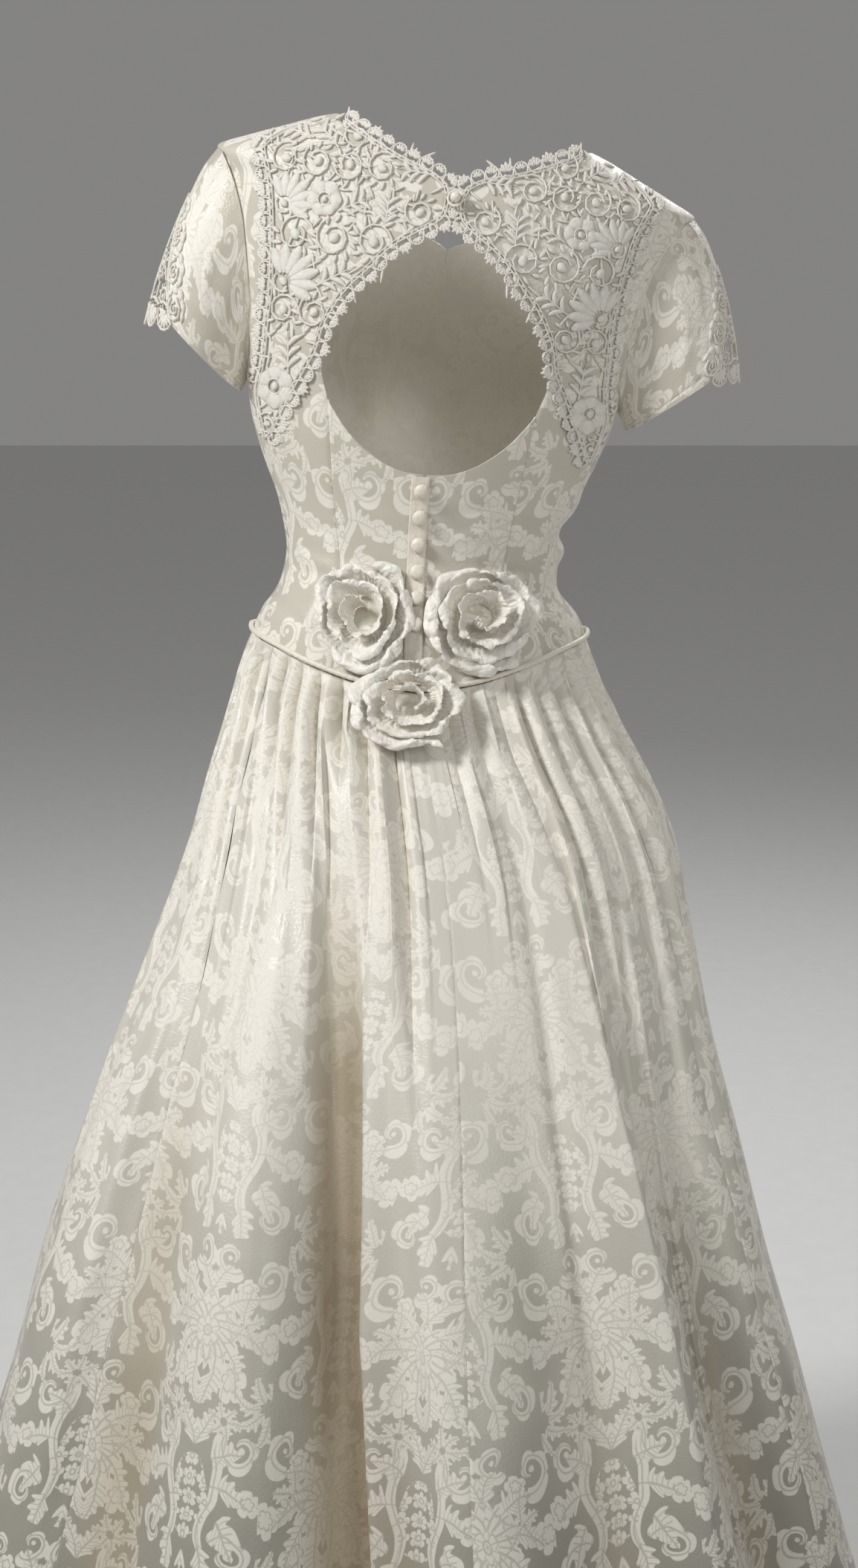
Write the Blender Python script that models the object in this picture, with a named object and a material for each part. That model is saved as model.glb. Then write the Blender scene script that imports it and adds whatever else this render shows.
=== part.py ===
import bpy
import numpy as np

# Every table and size is in millimetres and degrees. The straight body frame has
# x to the right of someone looking at the back, y to the front, h up from the waist.
# A "turn" goes round the body: 0 at centre back, 90 at the right side, 180 in front.
MM = 0.001
WALL = 1.5
EASE = 0.2

# The figure leans: its spine starts straight under the waist and rolls to one side.
LEAN_FROM = -130.0
LEAN_TO = 315.0
LEAN_ROLL = np.radians(8.5)
SPINE_X = -37.0
SPINE_Z = -445.0

# Bodice sections, a row for each height: half width, depth behind, depth in front.
TORSO = np.array([
    # h, half, back, front
    (-150, 160, 121, 116),
    (-100, 151, 113, 109),
    (-66, 143, 106, 104),
    (-50, 136, 101, 101),
    (-35, 125, 95, 98),
    (-16, 118, 87, 94),
    (0, 116, 83, 92),
    (24, 120, 83, 94),
    (45, 126, 86, 97),
    (70, 137, 91, 101),
    (105, 150, 98, 104),
    (140, 158, 103, 104),
    (200, 172, 106, 94),
    (256, 187, 98, 80),
    (290, 195, 86, 69),
    (311, 198, 76, 61),
    (320, 178, 71, 57),
    (330, 154, 66, 53),
    (341, 128, 59, 47),
    (352, 103, 50, 41),
    (362, 84, 42, 35),
], float)
TORSO_H, TORSO_HALF, TORSO_BACK, TORSO_FRONT = TORSO.T

BUST_X = 84.0
BUST_H = 118.0
BUST_SPREAD = 50.0
BUST_RISE = 24.0

# Cloth pushed together at the right waist, a row for each fold.
SIDE_FOLDS = np.array([
    # h, height of the fold, rise
    (-26, 9, -3.0),
    (6, 8, 5.5),
    (26, 8, -3.5),
    (48, 10, 3.5),
], float)

# The lower edge of the long bodice, behind and in front, by turn from the centre.
BASQUE_TURN = np.array([0, 18, 33, 52, 90], float)
BASQUE_BACK_H = np.array([-100, -94, -85, -74, -66], float)
BASQUE_FRONT_H = np.array([-112, -101, -88, -75, -66], float)

# Back half, a row for each level: the edge nearer the centre, then the outer edge.
# An outer x of 0 means the side seam or the shoulder seam.
BACK_ROWS = np.array([
    # inner x, inner h, outer x, outer h
    (71, -87, 0, -66),
    (69, -62, 0, -52),
    (68, -42, 0, -38),
    (68, -24, 0, -24),
    (68, -6, 0, -8),
    (70, 12, 0, 6),
    (73, 32, 0, 20),
    (76, 54, 0, 38),
    (79, 78, 0, 58),
    (82, 105, 0, 85),
    (85, 128, 0, 110),
    (92, 150, 0, 134),
    (94, 174, 154, 154),
    (87, 192, 155, 175),
    (79, 206, 156, 195),
    (62, 227, 160, 218),
    (44, 249, 164, 238),
    (22, 263, 168, 256),
    (6, 272, 173, 270),
    (4, 289, 179, 283),
    (8, 305, 186, 295),
    (24, 312, 192, 304),
    (54, 321, 0, 312),
    (80, 332, 0, 324),
    (103, 348, 0, 339),
], float)
PRINCESS_ROWS = 11
UNDERARM_ROW = 11
SHOULDER_ROW = 22
KEYHOLE_LOW = np.array([(85, 128), (68, 105), (47, 87), (25, 77), (EASE, 74)], float)

# Front half: the centre front and the neckline, then the side, armhole and shoulder.
FRONT_ROWS = np.array([
    # inner x, inner h, outer x, outer h
    (0, -111, 0, -66),
    (0, -78, 0, -52),
    (0, -50, 0, -38),
    (0, -27, 0, -24),
    (0, -6, 0, -8),
    (0, 16, 0, 6),
    (0, 40, 0, 20),
    (0, 64, 0, 38),
    (0, 90, 0, 58),
    (0, 122, 0, 85),
    (0, 154, 0, 110),
    (0, 184, 0, 134),
    (0, 206, 150, 154),
    (0, 224, 146, 175),
    (0, 240, 146, 195),
    (0, 254, 150, 218),
    (14, 262, 156, 238),
    (32, 268, 162, 256),
    (48, 278, 169, 270),
    (60, 289, 176, 283),
    (70, 301, 184, 295),
    (79, 312, 191, 304),
    (87, 323, 0, 312),
    (95, 335, 0, 324),
    (103, 348, 0, 339),
], float)

# Sleeves, a row for each arm: the hem's outer and inner ends, seen from behind.
SLEEVES = {
    "left": dict(side=-1, outer=(241, 190), inner=(160, 124), lean=17.5),
    "right": dict(side=1, outer=(252, 192), inner=(165, 118), lean=20.0),
}
SLEEVE_DEPTH = 53.0
SLEEVE_STEPS = np.array([0, 0.12, 0.26, 0.41, 0.60, 0.80, 1.0])
ARMHOLE_GAP = 1.8
CAP_REACH = 12.0
CAP_SWELL = 34.0
CAP_FULL = 9.0
NOTCH_FROM = 0.41
NOTCH_HALF = 66.0
NOTCH_EASE = 1.6
SLEEVE_LACE_END = 1.14
SLEEVE_LACE_GRID = (9, 9)
SLEEVE_SCALLOP = 0.05

# Lace on the shoulders and beside the keyhole: inner edge, then outer edge.
YOKE_ROWS = np.array([
    # inner x, inner h, outer x, outer h
    (130, 84, 138, 84),
    (122, 104, 145, 106),
    (112, 126, 149, 128),
    (102, 146, 145, 150),
    (93, 164, 144, 168),
    (89, 182, 144, 183),
    (81, 200, 143, 197),
    (71, 215, 143, 211),
    (58, 229, 144, 226),
    (46, 244, 145, 240),
    (31, 256, 147, 254),
    (15, 266, 149, 266),
    (4, 276, 151, 277),
    (1.5, 289, 154, 288),
    (5, 304, 158, 299),
    (20, 314, 163, 310),
    (42, 321, 160, 318),
    (64, 330, 152, 326),
    (84, 340, 142, 333),
    (98, 348, 128, 340),
], float)
YOKE_COLUMNS = 9
YOKE_OUT = 1.3
YOKE_WALL = 1.2
YOKE_CORD = 1.4
YOKE_SCALLOP = 3.0

BAND_LEFT = -12.0
BAND_RIGHT = 3.0
BAND_ROWS = 14
BUTTON_HEIGHTS = (62, 40, 17, -6, -27, -47)
BUTTON_X = -3.0
BUTTON_R = 6.3
BUTTON_RISE = 5.0
BUTTON_OUT = 2.6

PEARL_R = 4.3
PEARL_AT = (0.0, 291.0)
PEARL_OUT = 8.7
LOOP_R = 5.8
LOOP_OUT = 6.1
LOOP_DIP = 0.6
LOOP_CORD = 1.1

PIPING_R = 2.2
PIPING_UP = 1.5
PIPING_STEPS = 64

# Roses, a row each: place on the body, size across, reach from the cloth.
ROSES = {
    "rose_left": dict(x=-46, h=-42, wide=41, high=46, out=1.1, tilt=0.0, turns=3.1, start=40),
    "rose_right": dict(x=50, h=-42, wide=47, high=46, out=1.1, tilt=0.0, turns=3.3, start=200),
    "rose_low": dict(x=-6, h=-107, wide=44, high=38, out=-3.6, tilt=0.5, turns=3.0, start=300),
}
ROSE_STEPS = 44
ROSE_LEVELS = np.array([0.0, 0.55, 1.0])
ROSE_WALL = 1.8
ROSE_HEART = 5.0

# Skirt sections, a row for each height under the waist. Reaches are from the middle.
SKIRT = np.array([
    # h, left, right, middle y, back, front, seam x
    (-60, 141, 141, 0, 105, 103, 0),
    (-66, 143, 143, 0, 106, 104, 0),
    (-100, 151, 151, 0, 113, 109, 0),
    (-140, 163, 170, -12, 128, 132, 4),
    (-189, 180, 198, -35, 145, 175, 14),
    (-225, 191, 214, -50, 152, 203, 21),
    (-296, 216, 231, -80, 166, 255, 29),
    (-407, 262, 251, -115, 190, 320, 38),
    (-484, 290, 269, -140, 205, 365, 43),
    (-597, 326, 299, -175, 226, 430, 49),
    (-695, 353, 329, -200, 250, 475, 53),
    (-815, 392, 364, -225, 285, 530, 57),
    (-1115, 488, 445, -280, 400, 650, 66),
], float)
SKIRT_H = SKIRT[::-1, 0]
SKIRT_LEFT, SKIRT_RIGHT, SKIRT_MID, SKIRT_BACK, SKIRT_FRONT, SKIRT_SEAM = SKIRT[::-1, 1:].T
HEM_H = -1115.0
SKIRT_DROP = 1.8
SKIRT_STEPS = np.array([0, 11, 28, 55, 95, 150, 220, 305, 405, 520, 650, 805, 1000]) / 1000

GATHERS = 44
GATHER_RISE = 8.5
GATHER_UNEVEN = 2.2
CLOSING_FLAT = 1.6
SKIRT_PANELS = {
    # first and last gather of each panel, counted from centre back to the right,
    # and the columns that each gather takes
    "skirt_back_right": (0, 7, 3),
    "skirt_side_right": (7, 15, 3),
    "skirt_front": (15, 29, 2),
    "skirt_side_left": (29, 37, 3),
    "skirt_back_left": (37, 44, 3),
}
# Broad folds, a row each: turn at the top and at the hem, half width, rise, start.
BROAD_FOLDS = np.array([
    # top turn, hem turn, half width, rise, start below the seam
    (-27, -9, 15, -34, 40),
    (-42, -26, 16, 20, 60),
    (-56, -46, 13, -20, 120),
    (-74, -64, 17, 18, 150),
    (-95, -86, 14, -18, 90),
    (-118, -110, 18, 20, 120),
    (-142, -134, 15, -20, 80),
    (-165, -158, 17, 20, 120),
    (-8, 8, 13, 22, 120),
    (12, 22, 12, -14, 200),
    (24, 36, 12, 17, 90),
    (38, 50, 12, -20, 160),
    (56, 66, 16, 18, 100),
    (78, 84, 14, -18, 140),
    (100, 106, 17, 18, 80),
    (124, 130, 15, -20, 120),
    (150, 154, 18, 20, 90),
    (176, 178, 14, -18, 130),
], float)

PLACKET_COLUMNS = 2
PLACKET_FROM = 1
PLACKET_TO = 4
PLACKET_OUT = 0.6
PLACKET_WALL = 1.2

IVORY = (0.80, 0.74, 0.63)
COOL_WHITE = (0.84, 0.81, 0.75)
WARM_IVORY = (0.82, 0.75, 0.62)
PEARL_WHITE = (0.88, 0.85, 0.80)


def between(heights, values, h):
    """Smooth curve through a table: cubic pieces with slopes from the neighbours."""
    slopes = np.gradient(values, heights)
    h = np.clip(h, heights[0], heights[-1])
    i = np.clip(np.searchsorted(heights, h) - 1, 0, len(heights) - 2)
    step = heights[i + 1] - heights[i]
    s = (h - heights[i]) / step
    rise = values[i + 1] - values[i]
    ease = 3 * s ** 2 - 2 * s ** 3
    start = s * (1 - s) ** 2 * step * slopes[i]
    end = s ** 2 * (1 - s) * step * slopes[i + 1]
    return values[i] + rise * ease + start - end


def bump(distance):
    """Raised cosine: 1 in the middle, 0 at a distance of 1 and beyond."""
    return 0.5 + 0.5 * np.cos(np.pi * np.clip(np.abs(distance), 0, 1))


def lean(x, y, h):
    """Body frame to the leaning garment: an arc of spine, then straight on."""
    bend = LEAN_ROLL / (LEAN_TO - LEAN_FROM)
    inside = np.clip(h, LEAN_FROM, LEAN_TO)
    roll = bend * (inside - LEAN_FROM)
    beyond = h - inside
    spine_x = SPINE_X + (1 - np.cos(roll)) / bend + beyond * np.sin(roll)
    spine_z = SPINE_Z + np.sin(roll) / bend + beyond * np.cos(roll)
    return np.stack([spine_x + x * np.cos(roll), y, spine_z - x * np.sin(roll)], axis=-1)


def torso(turn, h):
    """Outer face of the bodice: an ellipse at each height, with a bust in front."""
    turn, h = np.broadcast_arrays(np.asarray(turn, float), np.asarray(h, float))
    sine, cosine = np.sin(np.radians(turn)), np.cos(np.radians(turn))
    half = between(TORSO_H, TORSO_HALF, h)
    for fold_h, fold_high, rise in SIDE_FOLDS:
        half = half + rise * bump((h - fold_h) / (2 * fold_high)) * np.clip(sine, 0, 1) ** 6
    depth = np.where(cosine > 0, between(TORSO_H, TORSO_BACK, h), between(TORSO_H, TORSO_FRONT, h))
    x = half * sine
    away = ((np.abs(x) - BUST_X) ** 2 + (h - BUST_H) ** 2) / BUST_SPREAD ** 2
    bust = BUST_RISE * np.exp(-away) * np.clip(-cosine * 2, 0, 1)
    return lean(x, bust - depth * cosine, h)


def turn_at(x, h):
    """Turn from centre back of a point x to the right, on the back half."""
    return np.degrees(np.arcsin(np.clip(x / between(TORSO_H, TORSO_HALF, h), -1, 1)))


def basque_edge(turn):
    """Height of the bodice's lower edge at a turn."""
    aside = np.abs((np.asarray(turn, float) + 180) % 360 - 180)
    back = between(BASQUE_TURN, BASQUE_BACK_H, np.minimum(aside, 90))
    front = between(BASQUE_TURN, BASQUE_FRONT_H, np.minimum(180 - aside, 90))
    return np.where(aside < 90, back, front)


def normals(surface, a, b, step_a, step_b):
    """Unit normal of a two-parameter surface from four points beside each point."""
    along_a = surface(a + step_a, b) - surface(a - step_a, b)
    along_b = surface(a, b + step_b) - surface(a, b - step_b)
    normal = np.cross(along_a, along_b)
    return normal / np.linalg.norm(normal, axis=-1, keepdims=True)


def material(name, colour, roughness, metallic=0.0):
    made = bpy.data.materials.new(name)
    made.use_nodes = True
    shader = made.node_tree.nodes["Principled BSDF"]
    shader.inputs["Base Color"].default_value = (*colour, 1)
    shader.inputs["Roughness"].default_value = roughness
    shader.inputs["Metallic"].default_value = metallic
    return made


def mesh_object(name, points, faces, slot):
    mesh = bpy.data.meshes.new(name)
    mesh.from_pydata((np.asarray(points) * MM).tolist(), [], [list(map(int, f)) for f in faces])
    mesh.validate()
    mesh.materials.append(slot)
    mesh.shade_smooth()
    mesh.set_sharp_from_angle(angle=np.radians(50))
    made = bpy.data.objects.new(name, mesh)
    bpy.context.scene.collection.objects.link(made)
    return made


def grid_cells(rows, columns, holes=()):
    """Quads of a grid, anticlockwise seen with columns to the right and rows up."""
    holes = set(holes)
    return [
        (r * columns + c, r * columns + c + 1, (r + 1) * columns + c + 1, (r + 1) * columns + c)
        for r in range(rows - 1)
        for c in range(columns - 1)
        if (r, c) not in holes
    ]


def over(face):
    """The face turned over, with the same diagonal."""
    return (face[0], *face[:0:-1])


def wall(name, outer, inner, cells, slot):
    """Closed cloth wall: the outer grid, the inner grid turned over, and the rim."""
    outer, inner = outer.reshape(-1, 3), inner.reshape(-1, 3)
    used = np.unique(np.array(cells))
    keys = np.round(outer[used], 3)
    _, first, index = np.unique(keys, axis=0, return_index=True, return_inverse=True)
    place = np.full(len(outer), -1)
    place[used] = index.reshape(-1)
    outer, inner = outer[used][first], inner[used][first]
    front = [tuple(place[list(cell)]) for cell in cells]
    count = len(outer)
    edges = {(a, b) for f in front for a, b in zip(f, f[1:] + f[:1])}
    back = [tuple(v + count for v in over(f)) for f in front]
    rim = [(b, a, a + count, b + count) for a, b in sorted(edges) if (b, a) not in edges]
    return mesh_object(name, np.concatenate([outer, inner]), front + back + rim, slot)


def ruled(inner_turn, inner_h, outer_turn, outer_h, columns):
    """Turns and heights of a panel: straight rulings from its inner to its outer edge."""
    share = np.linspace(0, 1, columns)
    turn = inner_turn[:, None] + (outer_turn - inner_turn)[:, None] * share
    h = inner_h[:, None] + (outer_h - inner_h)[:, None] * share
    return turn, h


def torso_wall(name, turn, h, slot, out=0.0, thick=WALL, raise_by=0.0, holes=()):
    """Wall over the bodice: its points moved out, then its inside one thickness in."""
    normal = normals(torso, turn, h, 0.5, 0.5)
    base = torso(turn, h)
    outer = base + normal * (out + thick + np.asarray(raise_by))[..., None]
    if out == 0.0:
        outer = base + normal * np.asarray(raise_by)[..., None]
    inner = outer - normal * (thick + np.asarray(raise_by))[..., None]
    rows, columns = turn.shape
    cells = grid_cells(rows, columns, holes)
    if turn[0, -1] < turn[0, 0]:
        cells = [over(cell) for cell in cells]
    return wall(name, outer, inner, cells, slot)


def edge_turns(rows, in_front):
    """Turns of a half's inner and outer edges, on the right, each eased off its seam."""
    inner_x, inner_h, outer_x, outer_h = rows.T
    inner = turn_at(inner_x, inner_h)
    seam = 90 - np.degrees(EASE / 100)
    outer = np.where(outer_x == 0, seam, turn_at(outer_x, outer_h))
    return (180 - inner, 180 - outer) if in_front else (inner, outer)


def bodice_side_backs(slot):
    inner, outer = edge_turns(BACK_ROWS, False)
    inner_h, outer_h = BACK_ROWS[:, 1].copy(), BACK_ROWS[:, 3].copy()
    inner[:PRINCESS_ROWS] += np.degrees(EASE / 100)
    turn, h = ruled(inner, inner_h, outer, outer_h, 7)
    h[0] = basque_edge(turn[0])
    torso_wall("bodice_side_back_left", -turn, h, slot)
    torso_wall("bodice_side_back_right", turn, h, slot)


def bodice_centre_backs(slot):
    """Below the keyhole, from the princess seam to the centre back."""
    seam_x, seam_h = BACK_ROWS[:PRINCESS_ROWS, 0], BACK_ROWS[:PRINCESS_ROWS, 1]
    seam_turn = turn_at(seam_x, seam_h) - np.degrees(EASE / 100)
    share = (KEYHOLE_LOW[0, 0] - KEYHOLE_LOW[:, 0]) / (KEYHOLE_LOW[0, 0] - EASE)
    turn = seam_turn[:, None] * (1 - share) + turn_at(EASE, 0) * share
    up = (seam_h - seam_h[0]) / (seam_h[-1] - seam_h[0])
    low = basque_edge(turn[0])
    h = low + (KEYHOLE_LOW[:, 1] - low) * up[:, None]
    h[:, 0] = seam_h
    torso_wall("bodice_centre_back_left", -turn, h, slot)
    torso_wall("bodice_centre_back_right", turn, h, slot)


def bodice_front(slot):
    """One piece cut on the fold, with the neckline scooped out of it."""
    inner, outer = edge_turns(FRONT_ROWS, True)
    turn, h = ruled(inner, FRONT_ROWS[:, 1], outer, FRONT_ROWS[:, 3], 6)
    h[0] = basque_edge(turn[0])
    turn = np.concatenate([turn[:, ::-1], 360 - turn[:, :]], axis=1)
    h = np.concatenate([h[:, ::-1], h], axis=1)
    half = 6
    holes = [(r, half - 1) for r in range(len(FRONT_ROWS) - 1)]
    torso_wall("bodice_front", turn, h, slot, holes=holes)


def armhole(side):
    """Closed run of armhole points, from the underarm up the back and down the front."""
    runs = []
    for rows, in_front in ((BACK_ROWS, False), (FRONT_ROWS, True)):
        _, outer = edge_turns(rows, in_front)
        part = slice(UNDERARM_ROW, SHOULDER_ROW + 1)
        runs.append(torso(side * outer[part], rows[part, 3]))
    back, front = runs
    top, low = (back[-1] + front[-1]) / 2, (back[0] + front[0]) / 2
    back[-1], front[-1], back[0], front[0] = top, top, low, low
    return np.concatenate([back, front[-2::-1]])


def sleeve_surface(arm):
    """Sleeve by turn round the arm (0 and 360 underarm, 180 outside) and way down it."""
    side = arm["side"]
    loop = armhole(side)
    loop_turn = np.linspace(0, 360, len(loop))
    outer, inner = np.array(arm["outer"], float), np.array(arm["inner"], float)
    centre, reach = (outer + inner) / 2, (outer - inner) / 2
    slope = np.radians(arm["lean"])

    def surface(turn, down):
        turn, down = np.broadcast_arrays(turn, down)
        angle = np.radians(turn)
        start = np.stack([np.interp(turn, loop_turn, loop[:, k]) for k in range(3)], axis=-1)
        x = centre[0] - reach[0] * np.cos(angle)
        h = centre[1] - reach[1] * np.cos(angle)
        y = -SLEEVE_DEPTH * np.sin(angle)
        back_up = CAP_REACH + CAP_SWELL * (1 - np.cos(angle))
        full = CAP_FULL * (0.5 - 0.5 * np.cos(angle))
        hem = lean(side * x, y, h)
        knee_x = x - back_up * np.sin(slope) + full * np.cos(slope)
        knee_h = h + back_up * np.cos(slope) + full * np.sin(slope)
        knee = lean(side * knee_x, y, knee_h)
        away = (knee - start) / np.linalg.norm(knee - start, axis=-1, keepdims=True)
        start = start + away * ARMHOLE_GAP
        s = down[..., None]
        return (1 - s) ** 2 * start + 2 * s * (1 - s) * knee + s ** 2 * hem

    return surface


def notch(down):
    """Half angle of the notch on the outer arm at a way down the sleeve."""
    return NOTCH_HALF * np.clip((down - NOTCH_FROM) / (1 - NOTCH_FROM), 0, None)


def sleeve_wall(name, surface, turn, down, side, slot, out=0.0, holes=(), thick=WALL):
    normal = normals(surface, turn, down, 1.0, 0.01) * side
    outer = surface(turn, down) + normal * out
    inner = outer - normal * thick
    cells = grid_cells(*turn.shape, holes)
    if side < 0:
        cells = [over(cell) for cell in cells]
    wall(name, outer, inner, cells, slot)


def sleeves(cloth, lace):
    for name, arm in SLEEVES.items():
        surface = sleeve_surface(arm)
        count = 2 * (SHOULDER_ROW - UNDERARM_ROW) + 1
        turn = np.linspace(-180, 180, count)[None, :] * (1 - notch(SLEEVE_STEPS)[:, None] / 180)
        down = np.repeat(SLEEVE_STEPS[:, None], count, axis=1)
        sleeve_wall("sleeve_" + name, lambda t, d: surface(t % 360, d), turn, down,
                    -arm["side"], cloth)
        rows, columns = SLEEVE_LACE_GRID
        down = np.linspace(NOTCH_FROM + 0.08, SLEEVE_LACE_END, rows)[:, None]
        share = np.linspace(-1, 1, columns)[None, :]
        room = notch(down) - NOTCH_EASE
        turn = 180 + room * share
        down = np.repeat(down, columns, axis=1)
        down[-1] += SLEEVE_SCALLOP * np.cos(np.pi * np.arange(columns))
        down[-1] -= 0.08 * share[0] ** 2
        holes = [(r, c) for r in range(2, rows - 1, 2) for c in range(1, columns - 1, 2)]
        sleeve_wall("sleeve_lace_" + name, surface, turn, down, -arm["side"], lace,
                    out=0.6, holes=holes)


def yoke_laces(slot):
    """Corded lace on the panel: its points moved out, cords raised, gaps cut through."""
    inner_x, inner_h, outer_x, outer_h = YOKE_ROWS.T
    rows = len(YOKE_ROWS)
    scallop = YOKE_SCALLOP * np.cos(np.pi * np.arange(rows))
    turn, h = ruled(turn_at(inner_x, inner_h), inner_h,
                    np.minimum(turn_at(outer_x + scallop, outer_h), 86), outer_h, YOKE_COLUMNS)
    column = np.arange(YOKE_COLUMNS)[None, :]
    row = np.arange(rows)[:, None]
    cord = np.cos(2 * np.pi * (column / 4 + 0.18 * row)) > 0
    edge = (column == 0) | (column == YOKE_COLUMNS - 1) | (row == 0) | (row == rows - 1)
    rise = np.where(cord | edge, YOKE_CORD, 0.0)
    holes = [(r, c) for r in range(4, rows - 2, 2) for c in range(1 + r // 2 % 2, YOKE_COLUMNS - 2, 3)]
    for side, name in ((-1, "left"), (1, "right")):
        torso_wall("yoke_lace_" + name, side * turn, h, slot, out=YOKE_OUT,
                   thick=YOKE_WALL, raise_by=rise, holes=holes)


def button_band(slot):
    """Lip of the centre back closing, on the left back panel, down to the piping."""
    h = np.linspace(basque_edge(0.0) + 6, KEYHOLE_LOW[-1, 1] - 0.5, BAND_ROWS)
    x = np.linspace(BAND_LEFT, BAND_RIGHT, 4)
    h = np.repeat(h[:, None], len(x), axis=1)
    torso_wall("button_band", turn_at(x[None, :], h), h, slot, out=0.45)


def on_torso(x, h, out):
    """Points over the back of the bodice: body x and height, then moved out."""
    turn = turn_at(x, h)
    return torso(turn, h) + normals(torso, turn, h, 0.5, 0.5) * np.asarray(out)[..., None]


def turned(name, rings, at, slot):
    """Round piece over the bodice: rings of radius and height over its place."""
    sides = 12
    angle = np.linspace(0, 2 * np.pi, sides, endpoint=False)
    at_x, at_h, at_out = at
    level = on_torso(np.float64(at_x), np.float64(at_h), np.float64(at_out))
    turn = turn_at(at_x, at_h)
    up = normals(torso, turn, np.float64(at_h), 0.5, 0.5)
    right = np.cross(np.array([0, 0, 1.0]), up)
    right /= np.linalg.norm(right)
    over = np.cross(up, right)
    points = [level + up * rings[0][1]]
    for radius, rise in rings[1:-1]:
        ring = np.cos(angle)[:, None] * right + np.sin(angle)[:, None] * over
        points.extend(level + ring * radius + up * rise)
    points.append(level + up * rings[-1][1])
    last = len(points) - 1
    faces = []
    for k in range(sides):
        n = (k + 1) % sides
        faces.append((0, 1 + n, 1 + k))
        for r in range(len(rings) - 3):
            a = 1 + r * sides
            faces.append((a + k, a + n, a + n + sides, a + k + sides))
        a = 1 + (len(rings) - 3) * sides
        faces.append((a + k, a + n, last))
    return mesh_object(name, np.array(points), faces, slot)


def covered_buttons(slot):
    rings = [(0, 0), (BUTTON_R * 0.9, 0), (BUTTON_R, BUTTON_RISE * 0.3),
             (BUTTON_R * 0.72, BUTTON_RISE * 0.82), (0, BUTTON_RISE)]
    for number, h in enumerate(BUTTON_HEIGHTS, 1):
        turned(f"covered_button_{number}", rings, (BUTTON_X, h, BUTTON_OUT), slot)


def pearl_and_loop(pearl_slot, loop_slot):
    angles = np.radians([-90, -60, -25, 10, 45, 90])
    rings = [(PEARL_R * np.cos(a), PEARL_R * np.sin(a)) for a in angles]
    rings[0], rings[-1] = (0, -PEARL_R), (0, PEARL_R)
    turned("pearl_button", rings, (*PEARL_AT, PEARL_OUT), pearl_slot)
    around = np.linspace(0, 2 * np.pi, 16, endpoint=False)
    x = PEARL_AT[0] + LOOP_R * np.cos(around)
    h = PEARL_AT[1] + LOOP_R * np.sin(around)
    route = on_torso(x, h, LOOP_OUT + LOOP_DIP * np.cos(around))
    tube("button_loop", route, LOOP_CORD, 6, loop_slot)


def tube(name, route, radius, sides, slot):
    """Closed ring of cord round a route of points."""
    ahead = np.roll(route, -1, axis=0) - np.roll(route, 1, axis=0)
    ahead /= np.linalg.norm(ahead, axis=1, keepdims=True)
    centre = route.mean(axis=0)
    away = route - centre
    away -= (away * ahead).sum(axis=1, keepdims=True) * ahead
    away /= np.linalg.norm(away, axis=1, keepdims=True)
    up = np.cross(ahead, away)
    angle = np.linspace(0, 2 * np.pi, sides, endpoint=False)[None, :, None]
    rings = route[:, None] + radius * (np.cos(angle) * away[:, None] + np.sin(angle) * up[:, None])
    count = len(route)
    faces = []
    for i in range(count):
        j = (i + 1) % count
        for k in range(sides):
            n = (k + 1) % sides
            faces.append((i * sides + k, i * sides + n, j * sides + n, j * sides + k))
    mesh_object(name, rings.reshape(-1, 3), faces, slot)


def basque_piping(slot):
    turn = np.linspace(0, 360, PIPING_STEPS, endpoint=False)
    turn = (turn + 180) % 360 - 180
    h = basque_edge(turn) + PIPING_UP
    normal = normals(torso, turn, h, 0.5, 0.5)
    tube("basque_piping", torso(turn, h) + normal * (PIPING_R + 0.5), PIPING_R, 6, slot)


def rose(name, place, slot):
    """Strip of cloth wound from the heart outwards, its edge waved and leaning out."""
    share = np.linspace(0, 1, ROSE_STEPS)[None, :]
    angle = np.radians(place["start"]) + 2 * np.pi * place["turns"] * share
    wave = np.cos(5 * angle)
    level = ROSE_LEVELS[:, None]
    radius = (ROSE_HEART + (1 - 0.25) * (34 - ROSE_HEART) * share) / 34
    spread = 0.20 * level ** 1.5 * share ** 0.7 + 0.025 * wave * level * share
    reach = radius + spread
    rise = level * (24 - 10 * share + 1.5 * wave * share)

    def strip(inset):
        p = place["wide"] * (reach - inset) * np.cos(angle)
        q = place["high"] * (reach - inset) * np.sin(angle)
        out = place["out"] + rise + place["tilt"] * (place["high"] - q)
        x = np.broadcast_to(place["x"] + p, out.shape)
        return on_torso(x, place["h"] + q, out)

    outer = strip(0.0)
    inner = strip(ROSE_WALL / place["high"])
    cells = grid_cells(len(ROSE_LEVELS), ROSE_STEPS)
    wall(name, outer, inner, cells, slot)


def gather_turn(gather):
    """Turn of a place counted in gathers, unevenly spaced."""
    uneven = np.sin(0.9 * gather) + 0.6 * np.sin(2.3 * gather + 1)
    closed = np.sin(np.pi * gather / GATHERS) ** 2
    return 360 * gather / GATHERS + GATHER_UNEVEN * uneven * closed


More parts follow.
